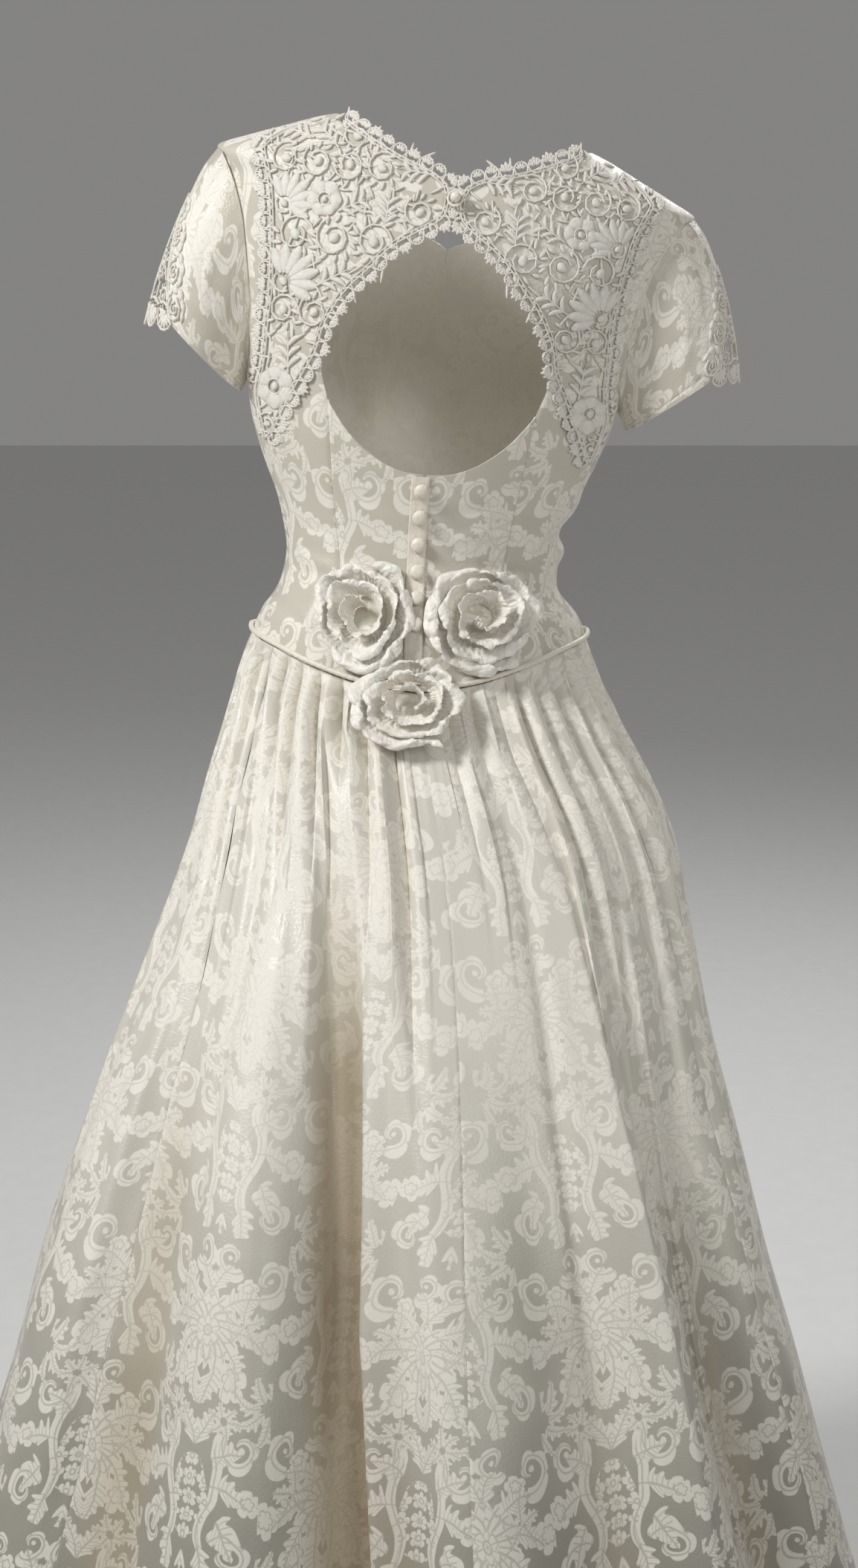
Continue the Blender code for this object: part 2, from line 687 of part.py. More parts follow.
def skirt(gather, down):
    """Outer face of the skirt, by gathers round it and share of the way to the hem."""
    gather, down = np.broadcast_arrays(np.asarray(gather, float), np.asarray(down, float))
    turn = gather_turn(gather)
    turn = (turn + 180) % 360 - 180
    top = basque_edge(turn) - SKIRT_DROP
    h = top + (HEM_H - top) * down
    fall = top - h
    right, left = between(SKIRT_H, SKIRT_RIGHT, h), between(SKIRT_H, SKIRT_LEFT, h)
    drift = np.degrees(between(SKIRT_H, SKIRT_SEAM, h) / right)
    place = np.radians(turn + drift * (0.5 + 0.5 * np.cos(np.radians(turn))))
    sine, cosine = np.sin(place), np.cos(place)
    wide = np.where(sine > 0, right, left)
    deep = np.where(cosine > 0, between(SKIRT_H, SKIRT_BACK, h), between(SKIRT_H, SKIRT_FRONT, h))
    x, y = wide * sine, between(SKIRT_H, SKIRT_MID, h) - deep * cosine
    outward = np.stack([sine / wide, -cosine / deep], axis=-1)
    outward /= np.linalg.norm(outward, axis=-1, keepdims=True)
    rise = gather_rise(gather, fall) + fold_rise(turn, fall, down)
    return lean(x + outward[..., 0] * rise, y + outward[..., 1] * rise, h)


def gather_rise(gather, fall):
    """Small gathers: full just under the seam, each fading at its own length."""
    number = np.round(gather)
    length = 260 + 170 * np.sin(2.1 * number) + 90 * np.sin(5.3 * number)
    start = np.clip(fall / 30, 0, 1) ** 0.8
    fade = bump(fall / np.maximum(length, 90))
    size = 1 + 0.35 * np.sin(3.7 * number)
    aside = np.minimum(gather, GATHERS - gather)
    flat = 1 - bump(aside / CLOSING_FLAT)
    return GATHER_RISE * size * flat * start * fade * (0.5 - 0.5 * np.cos(2 * np.pi * gather))


def fold_rise(turn, fall, down):
    """Broad folds, growing towards the hem and drifting as they fall."""
    total = np.zeros(np.shape(turn))
    for top_turn, hem_turn, half, rise, start in BROAD_FOLDS:
        centre = top_turn + (hem_turn - top_turn) * down
        grow = np.clip((fall - start) / 420, 0, 1)
        grow = grow * grow * (3 - 2 * grow)
        away = (turn - centre + 180) % 360 - 180
        total = total + rise * grow * bump(away / half)
    return total


def skirt_panels(slot):
    steps = SKIRT_STEPS
    for name, (first, last, columns) in SKIRT_PANELS.items():
        count = (last - first) * columns + 1
        gather = np.linspace(first, last, count)
        gather[0] += 0.012
        gather[-1] -= 0.012
        a, b = np.meshgrid(gather, steps)
        outer = skirt(a, b)
        normal = -normals(skirt, a, b, 0.02, 0.002)
        cells = [over(cell) for cell in grid_cells(len(steps), count)]
        wall(name, outer, outer - normal * WALL, cells, slot)


def zip_placket(slot):
    """Two folded edges over the top of the centre back seam, made from its points."""
    steps = SKIRT_STEPS[PLACKET_FROM:PLACKET_TO + 1]
    gather = np.arange(-PLACKET_COLUMNS, PLACKET_COLUMNS + 1) / SKIRT_PANELS["skirt_back_right"][2]
    gather = gather % GATHERS
    a, b = np.meshgrid(gather, steps)
    base = skirt(a, b)
    normal = -normals(skirt, a, b, 0.02, 0.002)
    cells = [over(cell) for cell in grid_cells(len(steps), len(gather))]
    wall("zip_placket", base + normal * (PLACKET_OUT + PLACKET_WALL),
         base + normal * PLACKET_OUT, cells, slot)


def build():
    for old in list(bpy.data.objects):
        bpy.data.objects.remove(old)
    brocade = material("brocade", IVORY, 0.5)
    skirt_brocade = material("skirt_brocade", IVORY, 0.5)
    lace = material("lace", COOL_WHITE, 0.7)
    rose_cloth = material("rose_cloth", WARM_IVORY, 0.6)
    trim = material("trim", WARM_IVORY, 0.5)
    pearl = material("pearl", PEARL_WHITE, 0.25)
    bodice_side_backs(brocade)
    bodice_centre_backs(brocade)
    bodice_front(brocade)
    sleeves(brocade, lace)
    yoke_laces(lace)
    button_band(trim)
    covered_buttons(trim)
    pearl_and_loop(pearl, trim)
    basque_piping(trim)
    for name, place in ROSES.items():
        rose(name, place, rose_cloth)
    skirt_panels(skirt_brocade)
    zip_placket(trim)


build()
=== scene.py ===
# %% [markdown]
# # A wedding gown seen from behind
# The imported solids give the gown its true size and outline. This lesson dresses them: every
# cloth panel is computed again as a finer surface with its folds, seams and creases, the lace
# is corded stitch by stitch, and each cloth gets a material with its own pattern and sheen.

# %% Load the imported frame
import bpy
import numpy as np
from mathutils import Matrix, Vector


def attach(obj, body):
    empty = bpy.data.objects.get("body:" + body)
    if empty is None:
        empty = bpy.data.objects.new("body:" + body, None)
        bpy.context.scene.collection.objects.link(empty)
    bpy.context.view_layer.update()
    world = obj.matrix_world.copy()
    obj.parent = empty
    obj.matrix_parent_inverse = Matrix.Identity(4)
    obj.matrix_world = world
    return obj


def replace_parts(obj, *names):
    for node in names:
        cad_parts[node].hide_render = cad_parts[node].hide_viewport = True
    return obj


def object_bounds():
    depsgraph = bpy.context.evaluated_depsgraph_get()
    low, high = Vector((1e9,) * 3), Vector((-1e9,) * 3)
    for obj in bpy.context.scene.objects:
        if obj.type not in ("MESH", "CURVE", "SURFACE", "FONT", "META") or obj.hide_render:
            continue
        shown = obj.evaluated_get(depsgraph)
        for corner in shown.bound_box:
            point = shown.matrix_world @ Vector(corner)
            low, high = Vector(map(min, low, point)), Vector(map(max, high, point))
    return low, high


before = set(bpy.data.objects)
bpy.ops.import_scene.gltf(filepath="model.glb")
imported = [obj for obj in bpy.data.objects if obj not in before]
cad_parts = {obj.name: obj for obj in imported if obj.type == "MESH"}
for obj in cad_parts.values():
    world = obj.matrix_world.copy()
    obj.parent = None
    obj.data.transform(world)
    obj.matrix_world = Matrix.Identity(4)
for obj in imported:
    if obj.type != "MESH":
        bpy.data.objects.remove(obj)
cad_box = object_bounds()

MM = 0.001
print("solids reach from", np.round(cad_box[0], 3), "to", np.round(cad_box[1], 3))

# %% [markdown]
# The camera stands 1.9 m behind the back at shoulder height and looks down a little. Its
# focal length is given in picture points, so the view keeps the tall picture's own angle.

# %% Camera
PICTURE = (1154, 2110)
FOCAL_POINTS = 2983.0
SENSOR_HIGH = 36.0
CAMERA_AT, CAMERA_DOWN = (-0.028, -1.9, -0.08), 13.0


def show(name, data):
    """Object that holds the data, at the origin of the scene."""
    made = bpy.data.objects.new(name, data)
    bpy.context.scene.collection.objects.link(made)
    return made


camera_data = bpy.data.cameras.new("camera")
camera_data.sensor_fit = "VERTICAL"
camera_data.sensor_height = SENSOR_HIGH
camera_data.lens = SENSOR_HIGH * FOCAL_POINTS / PICTURE[1]
camera = show("camera", camera_data)
camera.location = CAMERA_AT
camera.rotation_euler = (np.radians(90 - CAMERA_DOWN), 0, 0)
bpy.context.scene.camera = camera
print("camera lens in mm:", round(camera_data.lens, 2))

# %% [markdown]
# Soft studio light comes from square area lamps: a strong one from the upper left that draws
# the folds, a wider and weaker one from the right, and one beyond the gown for its far side. A
# pale sky fills the shadows.

# %% Lights
AIM = Vector((0.0, 0.0, -0.55))
LAMPS = {
    # place, side of the square in metres, watts
    "key": ((-2.15, -1.2, 1.65), 0.7, 74),
    "fill": ((1.5, -2.4, 1.0), 1.4, 20),
    "back": ((0.9, 2.0, 1.3), 1.5, 32),
}
SKY_COLOUR, SKY_STRENGTH = (0.86, 0.85, 0.83, 1.0), 0.27

for name, (place, size, watts) in LAMPS.items():
    data = bpy.data.lights.new(name, "AREA")
    data.size = size
    data.energy = watts
    made = show(name, data)
    made.location = place
    made.rotation_euler = (AIM - Vector(place)).to_track_quat("-Z", "Y").to_euler()
world = bpy.data.worlds.new("studio")
world.use_nodes = True
sky = world.node_tree.nodes["Background"]
sky.inputs["Color"].default_value = SKY_COLOUR
sky.inputs["Strength"].default_value = SKY_STRENGTH
bpy.context.scene.world = world
bpy.context.scene.view_settings.view_transform = "Standard"
print("lamps:", ", ".join(LAMPS))

# %% [markdown]
# A shader is a network of small nodes, and long sums are hard to read as a network. This
# little class wraps a socket, so that sums on values can be written as plain Python, and
# one method makes every other kind of node.

# %% A socket that does sums
class Value:
    """A number socket. Each operator adds the Math node that works it out."""

    def __init__(self, shader, socket):
        self.shader, self.socket = shader, socket

    def maths(self, operation, *values):
        """A new Math node of one operation, fed with numbers or sockets."""
        node = self.shader.tree.nodes.new("ShaderNodeMath")
        node.operation = operation
        for place, value in enumerate(values):
            self.shader.put(node.inputs[place], value)
        return Value(self.shader, node.outputs[0])

    def step(self, low, high):
        """0 under low, 1 over high, and a soft S between."""
        node = self.shader.node("ShaderNodeMapRange", {"interpolation_type": "SMOOTHSTEP"},
                                {"Value": self, "From Min": low, "From Max": high})
        return Value(self.shader, node.outputs[0])
TWO_SIDED = {"add": "ADD", "sub": "SUBTRACT", "mul": "MULTIPLY", "truediv": "DIVIDE",
             "pow": "POWER"}
PLAIN = {"sin": "SINE", "cos": "COSINE", "floor": "FLOOR", "part": "FRACT", "root": "SQRT",
         "least": "MINIMUM", "most": "MAXIMUM", "angle": "ARCTAN2", "__abs__": "ABSOLUTE"}
for word, operation in TWO_SIDED.items():
    setattr(Value, f"__{word}__",
            lambda one, other, kind=operation: one.maths(kind, one, other))
    setattr(Value, f"__r{word}__",
            lambda one, other, kind=operation: one.maths(kind, other, one))
for word, operation in PLAIN.items():
    setattr(Value, word, lambda *values, kind=operation: values[0].maths(kind, *values))

# %% A material's network
class Shader:
    """A material's network, with one Principled BSDF at its end."""

    def __init__(self, name):
        self.material = bpy.data.materials.new(name)
        self.material.use_nodes = True
        self.tree = self.material.node_tree
        self.end = self.tree.nodes["Principled BSDF"]

    def put(self, place, value):
        """A socket takes either a link or a number."""
        if isinstance(value, Value):
            value = value.socket
        if isinstance(value, bpy.types.NodeSocket):
            self.tree.links.new(value, place)
        else:
            place.default_value = value

    def node(self, kind, settings=None, inputs=None):
        """Any node: its settings first, then the values or links of its sockets."""
        made = self.tree.nodes.new(kind)
        for key, value in (settings or {}).items():
            setattr(made, key, value)
        for key, value in (inputs or {}).items():
            self.put(made.inputs[key], value)
        return made

    def attribute(self, name):
        """A number stored at each point of the mesh."""
        return Value(self, self.node("ShaderNodeAttribute", {"attribute_name": name}).outputs[2])

    def object_place(self):
        """The place on the piece itself, in metres."""
        return self.node("ShaderNodeTexCoord").outputs["Object"]

    def cloth_place(self):
        """The two coordinates of the piece's own map, in millimetres of cloth."""
        place = self.node("ShaderNodeUVMap", {"uv_map": "cloth"}).outputs["UV"]
        split = self.node("ShaderNodeSeparateXYZ", None, {"Vector": place})
        return Value(self, split.outputs[0]) * 1000, Value(self, split.outputs[1]) * 1000, place

    def noise(self, place, scale, detail=2.0, rough=0.5):
        """Soft noise from 0 to 1."""
        made = self.node("ShaderNodeTexNoise", None, {
            "Vector": place, "Scale": scale, "Detail": detail, "Roughness": rough})
        return Value(self, made.outputs["Fac"])

    def mix(self, share, first, second):
        """Colours mixed by a share from 0 to 1."""
        made = self.node("ShaderNodeMix", {"data_type": "RGBA"})
        self.put(made.inputs[0], share)
        for place, value in ((6, first), (7, second)):
            if isinstance(value, tuple):
                value = (*value, 1.0)
            self.put(made.inputs[place], value)
        return made.outputs[2]

    def finish(self, colour, roughness, height, relief, **fixed):
        """Colour and roughness, and a height in millimetres that becomes a bump."""
        self.put(self.end.inputs["Base Color"], colour)
        self.put(self.end.inputs["Roughness"], roughness)
        bump = self.node("ShaderNodeBump", None, {
            "Height": height, "Distance": relief * MM, "Strength": 1.0})
        self.put(self.end.inputs["Normal"], bump.outputs[0])
        for name, value in fixed.items():
            self.end.inputs[name.replace("_", " ")].default_value = value
        print(self.material.name, "uses", len(self.tree.nodes), "nodes")
        return self.material


# %% [markdown]
# ## The brocade
# Brocade is woven on two faces at once: a smooth satin ground, and motifs in a matt weave with
# a darker line round every petal. It could be painted on, but an image would blur close up,
# so each motif is a distance formula in millimetres. On the cloth a repeat is 119 mm wide and
# 251 mm high, and every second column drops by half a repeat, as damask looms set it.
# Mirroring the column about its middle gives pairs of leaves and scrolls. The pattern sets
# the colour and the gloss. It stays out of the bump, which would work all of it out three
# times over wherever light falls.

# %% Brocade motifs
TURN = 2 * float(np.pi)
REPEAT_WIDE, REPEAT_HIGH, PATTERN_SIZE = 156.0, 330.0, 0.76
WAVER = 16.0
LEAF_RINGS = (
    # centre, leaves, share of a leaf turned, root, length, width, tooth, flattening
    ((0, 70), 9, 0.25, 33.0, 31.0, 12.5, 8.0, 0.86),
    ((0, -92), 10, 0.0, 37.0, 31.0, 11.5, 8.0, 0.74),
    ((78, 4), 8, 0.5, 8.0, 31.0, 8.5, 8.0, 1.0),
    ((40, 84), 5, 0.1, 3.0, 21.0, 7.5, 6.5, 1.0),
    ((30, -12), 6, 0.6, 3.0, 18.0, 6.5, 6.5, 1.0),
)
SCROLLS = (
    # eye, reach, start in degrees, hand, width, share of the reach left after a turn
    ((52, -36), 22.0, 150, 1.0, 4.6, 0.30),
    ((50, -140), 21.0, -140, -1.0, 4.4, 0.30),
    ((58, 130), 21.0, 250, 1.0, 4.4, 0.30),
    ((16, 146), 16.0, 40, -1.0, 3.6, 0.34),
)
SMALL_FLOWERS = (
    # centre, petals, reach
    ((70, 66), 6, 17.0),
    ((66, -86), 5, 15.0),
    ((38, 118), 5, 12.0),
)
BOUQUET_Y, SIDE_FLOWER_AT, TRELLIS_Y, TRELLIS_STEP = 70.0, (33.0, 26.0), -92.0, 19.0


def polar(dx, dy):
    """Distance and angle of a place from a centre."""
    return (dx * dx + dy * dy).root(), dy.angle(dx)


def petals(far, turn, count, reach, cut, shift=0.0):
    """How far inside a ring of petals: the reach, less a cut between petals."""
    lobe = abs((turn * (count / 2) + shift).sin())
    return reach - far - cut * (1 - lobe) * (1 - lobe)


def leaf(along, across, length, width, teeth):
    """How far inside a leaf: a sine belly over its length, toothed, less the distance across."""
    side = abs(across)
    share = (along / length).least(1.0).most(0.0)
    belly = (share ** 0.8 * TURN / 2).sin() * width
    saw = (along * (TURN / teeth) - side * 0.45).sin()
    return belly * (1.0 + 0.34 * saw) - side - 0.4, side.least(abs(saw) * 1.8 + 0.35)


def leaf_ring(x, y, centre, count, shift, root, length, width, teeth, flat):
    """The same leaf repeated round a centre: the angle is folded into equal sectors."""
    far, angle = polar(x - centre[0], (y - centre[1]) * flat)
    sector = (angle * (count / TURN) + shift).part() - 0.5
    slant = sector * (TURN / count) + (far - root) * 0.011
    return leaf(far * slant.cos() - root, far * slant.sin(), length, width, teeth)


def scroll(x, y, eye, reach, start, hand, width, tighten):
    """How far inside a scroll: a tapering band that winds in to a ball, leafed outside."""
    far, angle = polar(x - eye[0], (y - eye[1]) * hand)
    turn = (angle / TURN - start / 360.0 + 1.0).part()
    off = far - reach * (tighten ** turn)
    lobe = abs((turn * 13.0).sin()) ** 0.7
    frond = lobe * (1.0 - turn) * reach * 0.42 * (off * 0.6).least(1.0).most(0.0)
    band = width * (1.0 - 0.7 * turn) + frond - abs(off)
    vein = abs(off - width * 0.2).least((lobe * 3.0).most(2.0 - off * 0.4))
    return band.most(reach * 0.15 - far), vein


def bouquet(x, y):
    """The large flower: three rings of petals, two of them ruffled, and folds between."""
    dy = y - BOUQUET_Y
    far = (x * x + dy * dy * 0.80).root()
    turn = dy.angle(x)
    ruffle = (turn * 31.0).sin() * 0.9
    outer = petals(far, turn, 9, 39.0, 9.0, 0.4) + ruffle
    middle = petals(far, turn, 7, 27.0, 8.0, 1.2) + ruffle
    heart = petals(far, turn, 5, 14.0, 5.0)
    fold = abs((turn * 9.0 + far * 0.16).sin()) * far * 0.10
    lines = abs(middle).least(abs(heart)).least(abs(far - 4.5))
    return outer, lines.least(fold.most(abs(far - 24.0) - 9.0))


def side_flower(x, y):
    """The second flower: a ring of six petals round one of five."""
    far, turn = polar(x - SIDE_FLOWER_AT[0], y - SIDE_FLOWER_AT[1])
    return petals(far, turn, 6, 19.0, 6.0, 0.9), abs(petals(far, turn, 5, 10.0, 4.0, 0.2))


def small_flower(x, y, centre, count, reach):
    """A small flower: one ring of petals, with a line at half its reach."""
    far, turn = polar(x - centre[0], y - centre[1])
    inside = petals(far, turn, count, reach, reach * 0.3, 0.5)
    return inside, abs(petals(far, turn, count, reach * 0.5, reach * 0.2, 1.1))


def trellis(x, y):
    """A waved band beside a bed of tiny flowers, which stand in a square grid."""
    wave = x - 25.0 - (y * (TURN / 100)).sin() * 7.0
    band = 5.6 - abs(wave) - (abs(y) - 40.0).most(0.0) * 0.45
    cell = [((along / TRELLIS_STEP + 0.5).part() - 0.5) * TRELLIS_STEP for along in (x, y)]
    far, turn = polar(*cell)
    bed = 1.0 - (x * x / 520.0 + y * y / 1700.0)
    tiny = petals(far, turn, 5, 9.6, 4.6, 0.3).least(bed * 30.0)
    return [(band, abs(wave + 1.5)), (tiny, abs(far - 2.6))]


# %% The repeat, and both brocades
# The fold colour is painted shade for the valleys of the folds.
IVORY, BODICE_GROUND, PAINTED_FOLD_SHADE = (0.87, 0.835, 0.75), (0.60, 0.565, 0.475), (0.37, 0.295, 0.185)
WARM_SHEEN = (1.0, 0.96, 0.90, 1.0)


def brocade_pattern(shader, u, v, place):
    """Share of motif, and share of dark line: the most of what each piece of the repeat
    gives, and the nearest of the lines that lie inside their own piece."""
    u = u / PATTERN_SIZE + (shader.noise(place, 24.0, 1.0) - 0.5) * WAVER
    v = v / PATTERN_SIZE + (shader.noise(place, 33.0, 1.0) - 0.5) * WAVER
    v = v + ((u / REPEAT_WIDE).floor() * 0.5).part() * REPEAT_HIGH
    x = abs(((u / REPEAT_WIDE).part() - 0.5) * REPEAT_WIDE)
    y = ((v / REPEAT_HIGH).part() - 0.5) * REPEAT_HIGH
    pieces = [bouquet(x, y), side_flower(x, y)]
    pieces += [leaf_ring(x, y, *row) for row in LEAF_RINGS]
    pieces += [scroll(x, y, *row) for row in SCROLLS]
    pieces += [small_flower(x, y, *row) for row in SMALL_FLOWERS]
    pieces += trellis(x, y - TRELLIS_Y)
    motif, line = pieces[0][0], pieces[0][1].most(0.0 - pieces[0][0])
    for inside, along in pieces[1:]:
        motif = motif.most(inside)
        line = line.least(along.most(0.0 - inside))
    return motif.step(-0.5, 0.7), 1.0 - line.step(0.35, 1.5)


def brocade(name, ground, hem_shade_ground, raised, hem_shade_raised, gloss):
    """Satin ground and matt motif over a fine weave, each with a second, darker tone near the
    hem that is painted shade. The valleys of the folds get painted shade, and the wrong side of
    the cloth is nearly plain."""
    shader = Shader(name)
    u, v, place = shader.cloth_place()
    motif, line = brocade_pattern(shader, u, v, place)
    pucker = shader.noise(place, 420.0, 2.0, 0.6)
    cloud = shader.noise(place, 9.0, 3.0)
    weave = (u * 5.2).sin() * (v * 5.2).sin()
    shown = motif * (1.0 - 0.62 * line)
    tone = shown * 0.9 + (pucker - 0.5) * 0.32 * motif + (cloud - 0.5) * 0.2
    # Painted shade: the ground and the motifs turn darker towards the hem.
    low = (0.0 - v - 150.0 + (cloud - 0.5) * 300.0).step(0.0, 640.0)
    colour = shader.mix(tone.least(1.0).most(0.0), shader.mix(low, ground, hem_shade_ground),
                        shader.mix(low, raised, hem_shade_raised))
    # Painted shade in the valleys of the folds, as strong as the deep share kept at each point.
    colour = shader.mix(shader.attribute("deep") * 0.8, colour, PAINTED_FOLD_SHADE)
    colour = shader.mix(shader.attribute("reverse") * 0.85, colour, raised)
    rough = gloss + 0.36 * shown + (cloud - 0.5) * 0.12
    return shader.finish(colour, rough, pucker * 0.5 + weave * 0.03, 0.6, Sheen_Weight=0.25,
                         Sheen_Roughness=0.45, Sheen_Tint=WARM_SHEEN, Specular_IOR_Level=0.5)


# The satin grounds of both brocades are darker than the ivory motifs: partly the woven pattern, partly
# painted dark reflection of the glossy satin.
BODICE_CLOTH = brocade("ivory_brocade", BODICE_GROUND, BODICE_GROUND, IVORY, IVORY, 0.28)
# On the skirt the second and fourth colours are painted shade near the hem.
SKIRT_CLOTH = brocade("skirt_brocade_cloth", (0.68, 0.65, 0.57), (0.235, 0.222, 0.183),
                      IVORY, (0.66, 0.635, 0.565), 0.32)

# %% [markdown]
# ## The other cloths
# The lace is matt cotton cord, cooler and whiter than the silk, and darker at its foot, where
# little light gets in. The roses and the covered buttons are plain warm satin with a crushed
# surface. The pearl gets a coat over a soft base.

# %% Lace, rose cloth, trim and pearl
LACE_FOOT = (0.42, 0.38, 0.30)
def corded(name, colour, shade):
    """Cotton cord: a fine twist, with threads lying across each cord."""
    shader = Shader(name)
    place = shader.object_place()
    twist = shader.noise(place, 900.0, 2.0, 0.7)
    fluff = shader.noise(place, 240.0, 3.0, 0.6)
    tone = shader.mix((twist * 0.6 + fluff * 0.5).step(0.25, 0.85), shade, colour)
    tone = shader.mix(shader.attribute("foot") * 0.75, tone, LACE_FOOT)
    return shader.finish(tone, 0.72 + 0.2 * (twist - 0.5), twist + fluff * 0.5, 0.5,
                         Sheen_Weight=0.3, Sheen_Roughness=0.5)


def satin(name, colour, shade, gloss, crush):
    """Plain satin: a fine cross thread, clouded tone and a crushed nap."""
    shader = Shader(name)
    place = shader.object_place()
    cloud = shader.noise(place, 60.0, 4.0, 0.6)
    nap = shader.noise(place, 260.0, 3.0, 0.65)
    thread = shader.noise(place, 1500.0, 1.0)
    tone = shader.mix((cloud * 0.7 + nap * 0.4).step(0.25, 0.85), shade, colour)
    wrinkle = abs(shader.noise(place, 95.0, 2.0, 0.45) - 0.5) * 5.0
    height = (nap + wrinkle) * crush + thread * 0.15
    return shader.finish(tone, gloss + 0.3 * (nap - 0.5), height, 0.8, Sheen_Weight=0.35,
                         Sheen_Roughness=0.4, Sheen_Tint=WARM_SHEEN)


def pearl_shell(name):
    """Pearl: a warm base that turns pinkish at its rim, under a clear coat."""
    shader = Shader(name)
    rim = Value(shader, shader.node("ShaderNodeLayerWeight", None, {"Blend": 0.35}).outputs[1])
    bloom = shader.noise(shader.object_place(), 500.0, 2.0)
    colour = shader.mix(rim, (0.86, 0.82, 0.74), (0.80, 0.72, 0.68))
    return shader.finish(colour, 0.22 + 0.1 * bloom, bloom, 0.05,
                         Coat_Weight=0.6, Coat_Roughness=0.12)


LACE_CORD = corded("lace_cord", (0.90, 0.88, 0.83), (0.70, 0.665, 0.585))
ROSE_CLOTH = satin("rose_satin", (0.93, 0.905, 0.84), (0.85, 0.81, 0.72), 0.45, 1.1)
TRIM_CLOTH = satin("trim_satin", (0.86, 0.81, 0.71), (0.76, 0.705, 0.60), 0.42, 0.4)
PEARL = pearl_shell("pearl_shell")

# %% [markdown]
# ## The body frame
# The gown is drawn in a straight body frame, in millimetres: x to the right as seen from
# behind, y to the front and h up from the waist. The spine then leans, and a short table gives
# the half width and the depths at each height. A "turn" goes round the body, from 0 at centre
# back to 90 at the right side and 180 in front.

# %% Sizes of the body
TORSO = np.array([
    # h, half, back, front
    (-150, 160, 121, 116),
    (-100, 151, 113, 109),
    (-66, 143, 106, 104),
    (-50, 136, 101, 101),
    (-35, 125, 95, 98),
    (-16, 118, 87, 94),
    (0, 116, 83, 92),
    (24, 120, 83, 94),
    (45, 126, 86, 97),
    (70, 137, 91, 101),
    (105, 150, 98, 104),
    (140, 158, 103, 104),
    (200, 172, 106, 94),
    (256, 187, 98, 80),
    (290, 195, 86, 69),
    (311, 198, 76, 61),
    (320, 178, 71, 57),
    (330, 154, 66, 53),
    (341, 128, 59, 47),
    (352, 103, 50, 41),
    (362, 84, 42, 35),
], float)
TORSO_H, TORSO_HALF, TORSO_BACK, TORSO_FRONT = TORSO.T
LEAN_FROM, LEAN_TO, LEAN_ROLL = -130.0, 315.0, np.radians(8.5)
SPINE_X, SPINE_Z = -37.0, -445.0
BUST_X, BUST_H, BUST_SPREAD, BUST_RISE = 84.0, 118.0, 50.0, 24.0
SIDE_FOLDS = np.array([
    # height, half height, rise of the cloth pushed together at the right waist
    (-26, 9, -3.0),
    (6, 8, 5.5),
    (26, 8, -3.5),
    (48, 10, 3.5),
], float)
BASQUE_TURN = np.array([0, 18, 33, 52, 90], float)
BASQUE_BACK_H = np.array([-100, -94, -85, -74, -66], float)
BASQUE_FRONT_H = np.array([-112, -101, -88, -75, -66], float)


def between(heights, values, h):
    """Smooth curve through a table: cubic pieces with slopes from the neighbours."""
    slopes = np.gradient(values, heights, axis=0)
    h = np.clip(h, heights[0], heights[-1])
    i = np.clip(np.searchsorted(heights, h) - 1, 0, len(heights) - 2)
    step = heights[i + 1] - heights[i]
    s = (h - heights[i]) / step
    if np.ndim(values) > 1:
        s, step = s[:, None], step[:, None]
    rise = values[i + 1] - values[i]
    ease = 3 * s ** 2 - 2 * s ** 3
    start = s * (1 - s) ** 2 * step * slopes[i]
    end = s ** 2 * (1 - s) * step * slopes[i + 1]
    return values[i] + rise * ease + start - end


def bump(distance):
    """Raised cosine: 1 in the middle, 0 at a distance of 1 and beyond."""
    return 0.5 + 0.5 * np.cos(np.pi * np.clip(np.abs(distance), 0, 1))


def bell(distance):
    """Bell curve: 1 in the middle, about a third at a distance of 1, and then almost 0."""
    return np.exp(-distance ** 2)


def signed(turn):
    """The same turn, counted from -180 to 180."""
    return (turn + 180) % 360 - 180


def lean(x, y, h):
    """Body frame to the leaning gown: an arc of spine, then straight on."""
    bend = LEAN_ROLL / (LEAN_TO - LEAN_FROM)
    inside = np.clip(h, LEAN_FROM, LEAN_TO)
    roll = bend * (inside - LEAN_FROM)
    beyond = h - inside
    spine_x = SPINE_X + (1 - np.cos(roll)) / bend + beyond * np.sin(roll)
    spine_z = SPINE_Z + np.sin(roll) / bend + beyond * np.cos(roll)
    placed = spine_x + x * np.cos(roll), y, spine_z - x * np.sin(roll)
    return np.stack(np.broadcast_arrays(*placed), axis=-1)


def torso(turn, h):
    """Outer face of the bodice: an ellipse at each height, with a bust in front."""
    turn, h = np.broadcast_arrays(np.asarray(turn, float), np.asarray(h, float))
    sine, cosine = np.sin(np.radians(turn)), np.cos(np.radians(turn))
    half = between(TORSO_H, TORSO_HALF, h)
    for fold_h, fold_high, rise in SIDE_FOLDS:
        half = half + rise * bump((h - fold_h) / (2 * fold_high)) * np.clip(sine, 0, 1) ** 6
    depth = np.where(cosine > 0, between(TORSO_H, TORSO_BACK, h), between(TORSO_H, TORSO_FRONT, h))
    x = half * sine
    away = ((np.abs(x) - BUST_X) ** 2 + (h - BUST_H) ** 2) / BUST_SPREAD ** 2
    bust = BUST_RISE * np.exp(-away) * np.clip(-cosine * 2, 0, 1)
    return lean(x, bust - depth * cosine, h)


def turn_at(x, h):
    """Turn from centre back of a point x to the right, on the back half."""
    return np.degrees(np.arcsin(np.clip(x / between(TORSO_H, TORSO_HALF, h), -1, 1)))


def basque_edge(turn):
    """Height of the bodice's lower edge at a turn."""
    aside = np.abs(signed(np.asarray(turn, float)))
    back = between(BASQUE_TURN, BASQUE_BACK_H, np.minimum(aside, 90))
    front = between(BASQUE_TURN, BASQUE_FRONT_H, np.minimum(180 - aside, 90))
    return np.where(aside < 90, back, front)


